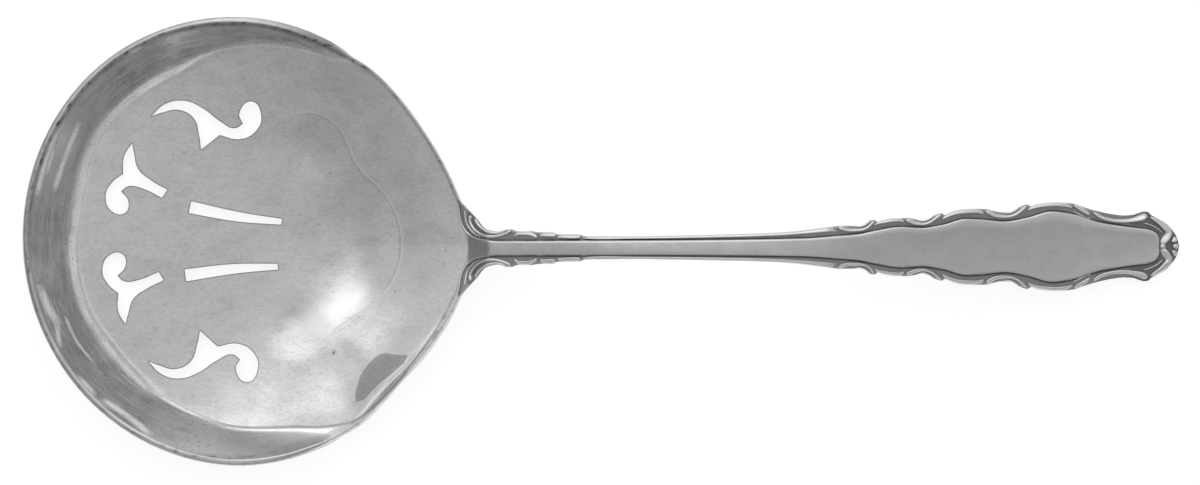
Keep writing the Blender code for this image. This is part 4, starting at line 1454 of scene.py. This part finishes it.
class SpoonFinish(bpy.types.PropertyGroup):
    """Colours of the metal"""

    silver: colour_of("Silver", "Colour of the clean metal", (0.64, 0.64, 0.635))
    satin: colour_of("Satin", "Colour of the handle's dulled metal", (0.495, 0.495, 0.49))
    tarnish: colour_of("Tarnish", "Colour of the clouded metal", (0.3, 0.3, 0.295))
    # Colour of the painted reflection on the wall and of the painted highlight in the hollow.
    painted_sheen: colour_of("Polish", "Colour of the metal rubbed bright in the bowl", (0.84, 0.84, 0.835))
    scuff: colour_of("Scuff", "Colour of the rubbed marks on the bowl's wall", (0.96, 0.96, 0.955))
    # The crest colour is wear with a painted highlight.
    crest: colour_of("Crest", "Colour of the metal worn bright on the scrolls", (0.66, 0.66, 0.655))
    groove: colour_of("Groove", "Colour of the dark metal in the grooves", (0.1, 0.1, 0.098))


class SpoonStage(bpy.types.PropertyGroup):
    """Floor, studio and camera"""

    floor_colour: colour_of("Floor", "Colour of the floor", (0.35, 0.35, 0.35))
    floor_glow: number_of(
        "Floor glow", "Light that the floor adds to what is seen of it", 0.79, 0.0, 1.0
    )
    sky_level: number_of("Sky", "Brightness of the studio overhead", 1.0, 0.0, 2.0)
    horizon_level: number_of("Horizon", "Brightness at the horizon", 0.5, 0.0, 2.0)
    lens: number_of("Lens", "Focal length of the camera in mm", 250.0, 20.0, 400.0)
    view_middle: bpy.props.FloatVectorProperty(
        name="View middle",
        description="Point of the floor plan at the middle of the picture",
        default=(0.031124, 0.000555),
        size=2,
        unit="LENGTH",
    )
    view_width: length_of("View width", "Width of the picture", 0.12505, 0.05, 1.0)
    view_turn: bpy.props.FloatProperty(
        name="View turn",
        description="Turn of the camera about its line of sight",
        default=math.radians(-0.15),
        subtype="ANGLE",
    )


def placed(piece, node=None):
    """Makes a piece ride on the spoon, and hides the solid that it stands for."""
    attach(piece, "root")
    if node:
        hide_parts(node)


class SPOON_OT_bowl(bpy.types.Operator):
    """Build the dished bowl with its six pierced shapes"""

    bl_idname = "spoon.bowl"
    bl_label = "Bowl"

    def execute(self, context):
        bowl = make_bowl(context.scene.spoon_bowl, context.scene.spoon_finish)
        placed(bowl, "bowl")
        return {"FINISHED"}


class SPOON_OT_handle(bpy.types.Operator):
    """Build the body of the handle with its plain panel and sunk border"""

    bl_idname = "spoon.handle"
    bl_label = "Handle"

    def execute(self, context):
        handle = make_handle(context.scene.spoon_handle, context.scene.spoon_finish)
        placed(handle, "handle")
        return {"FINISHED"}


class SPOON_OT_scrolls(bpy.types.Operator):
    """Build the raised scrolls of the shoulders, the border and the tip"""

    bl_idname = "spoon.scrolls"
    bl_label = "Scrolls"

    def execute(self, context):
        for name, groups in SCROLL_PIECES.items():
            placed(make_scrolls(name, groups, context.scene.spoon_finish))
        return {"FINISHED"}


class SPOON_OT_solder(bpy.types.Operator):
    """Build the bead of solder under the heel"""

    bl_idname = "spoon.solder"
    bl_label = "Solder"

    def execute(self, context):
        placed(make_solder(context.scene.spoon_finish), "heel_solder")
        return {"FINISHED"}


class SPOON_OT_stage(bpy.types.Operator):
    """Build the floor, the light and the camera"""

    bl_idname = "spoon.stage"
    bl_label = "Stage"

    def execute(self, context):
        stage = context.scene.spoon_stage
        make_floor(stage)
        make_sky(stage)
        make_side_light()
        make_camera(stage)
        context.scene.view_settings.view_transform = "Standard"
        return {"FINISHED"}


class SPOON_PT_panel(bpy.types.Panel):
    """Lists the spoon's pieces with their sizes and colours"""

    bl_idname = "SPOON_PT_panel"
    bl_label = "Bonbon Spoon"
    bl_space_type = "VIEW_3D"
    bl_region_type = "UI"
    bl_category = "Spoon"

    def draw(self, context):
        for operator in OPERATORS:
            self.layout.operator(operator.bl_idname)
        for name in GROUPS:
            group = getattr(context.scene, name)
            for prop in group.bl_rna.properties:
                if prop.identifier not in ("rna_type", "name"):
                    self.layout.prop(group, prop.identifier)


OPERATORS = (SPOON_OT_bowl, SPOON_OT_handle, SPOON_OT_scrolls, SPOON_OT_solder, SPOON_OT_stage)
GROUPS = {
    "spoon_bowl": BowlSizes,
    "spoon_handle": HandleSizes,
    "spoon_finish": SpoonFinish,
    "spoon_stage": SpoonStage,
}
CLASSES = (*GROUPS.values(), *OPERATORS, SPOON_PT_panel)


def register():
    for item in CLASSES:
        bpy.utils.register_class(item)
    for name, group in GROUPS.items():
        setattr(bpy.types.Scene, name, bpy.props.PointerProperty(type=group))


def unregister():
    for name in GROUPS:
        delattr(bpy.types.Scene, name)
    for item in reversed(CLASSES):
        bpy.utils.unregister_class(item)


def main():
    """Builds the spoon and its stage."""
    register()
    bpy.ops.spoon.bowl()
    bpy.ops.spoon.handle()
    bpy.ops.spoon.scrolls()
    bpy.ops.spoon.solder()
    bpy.ops.spoon.stage()


if __name__ == "__main__":
    main()
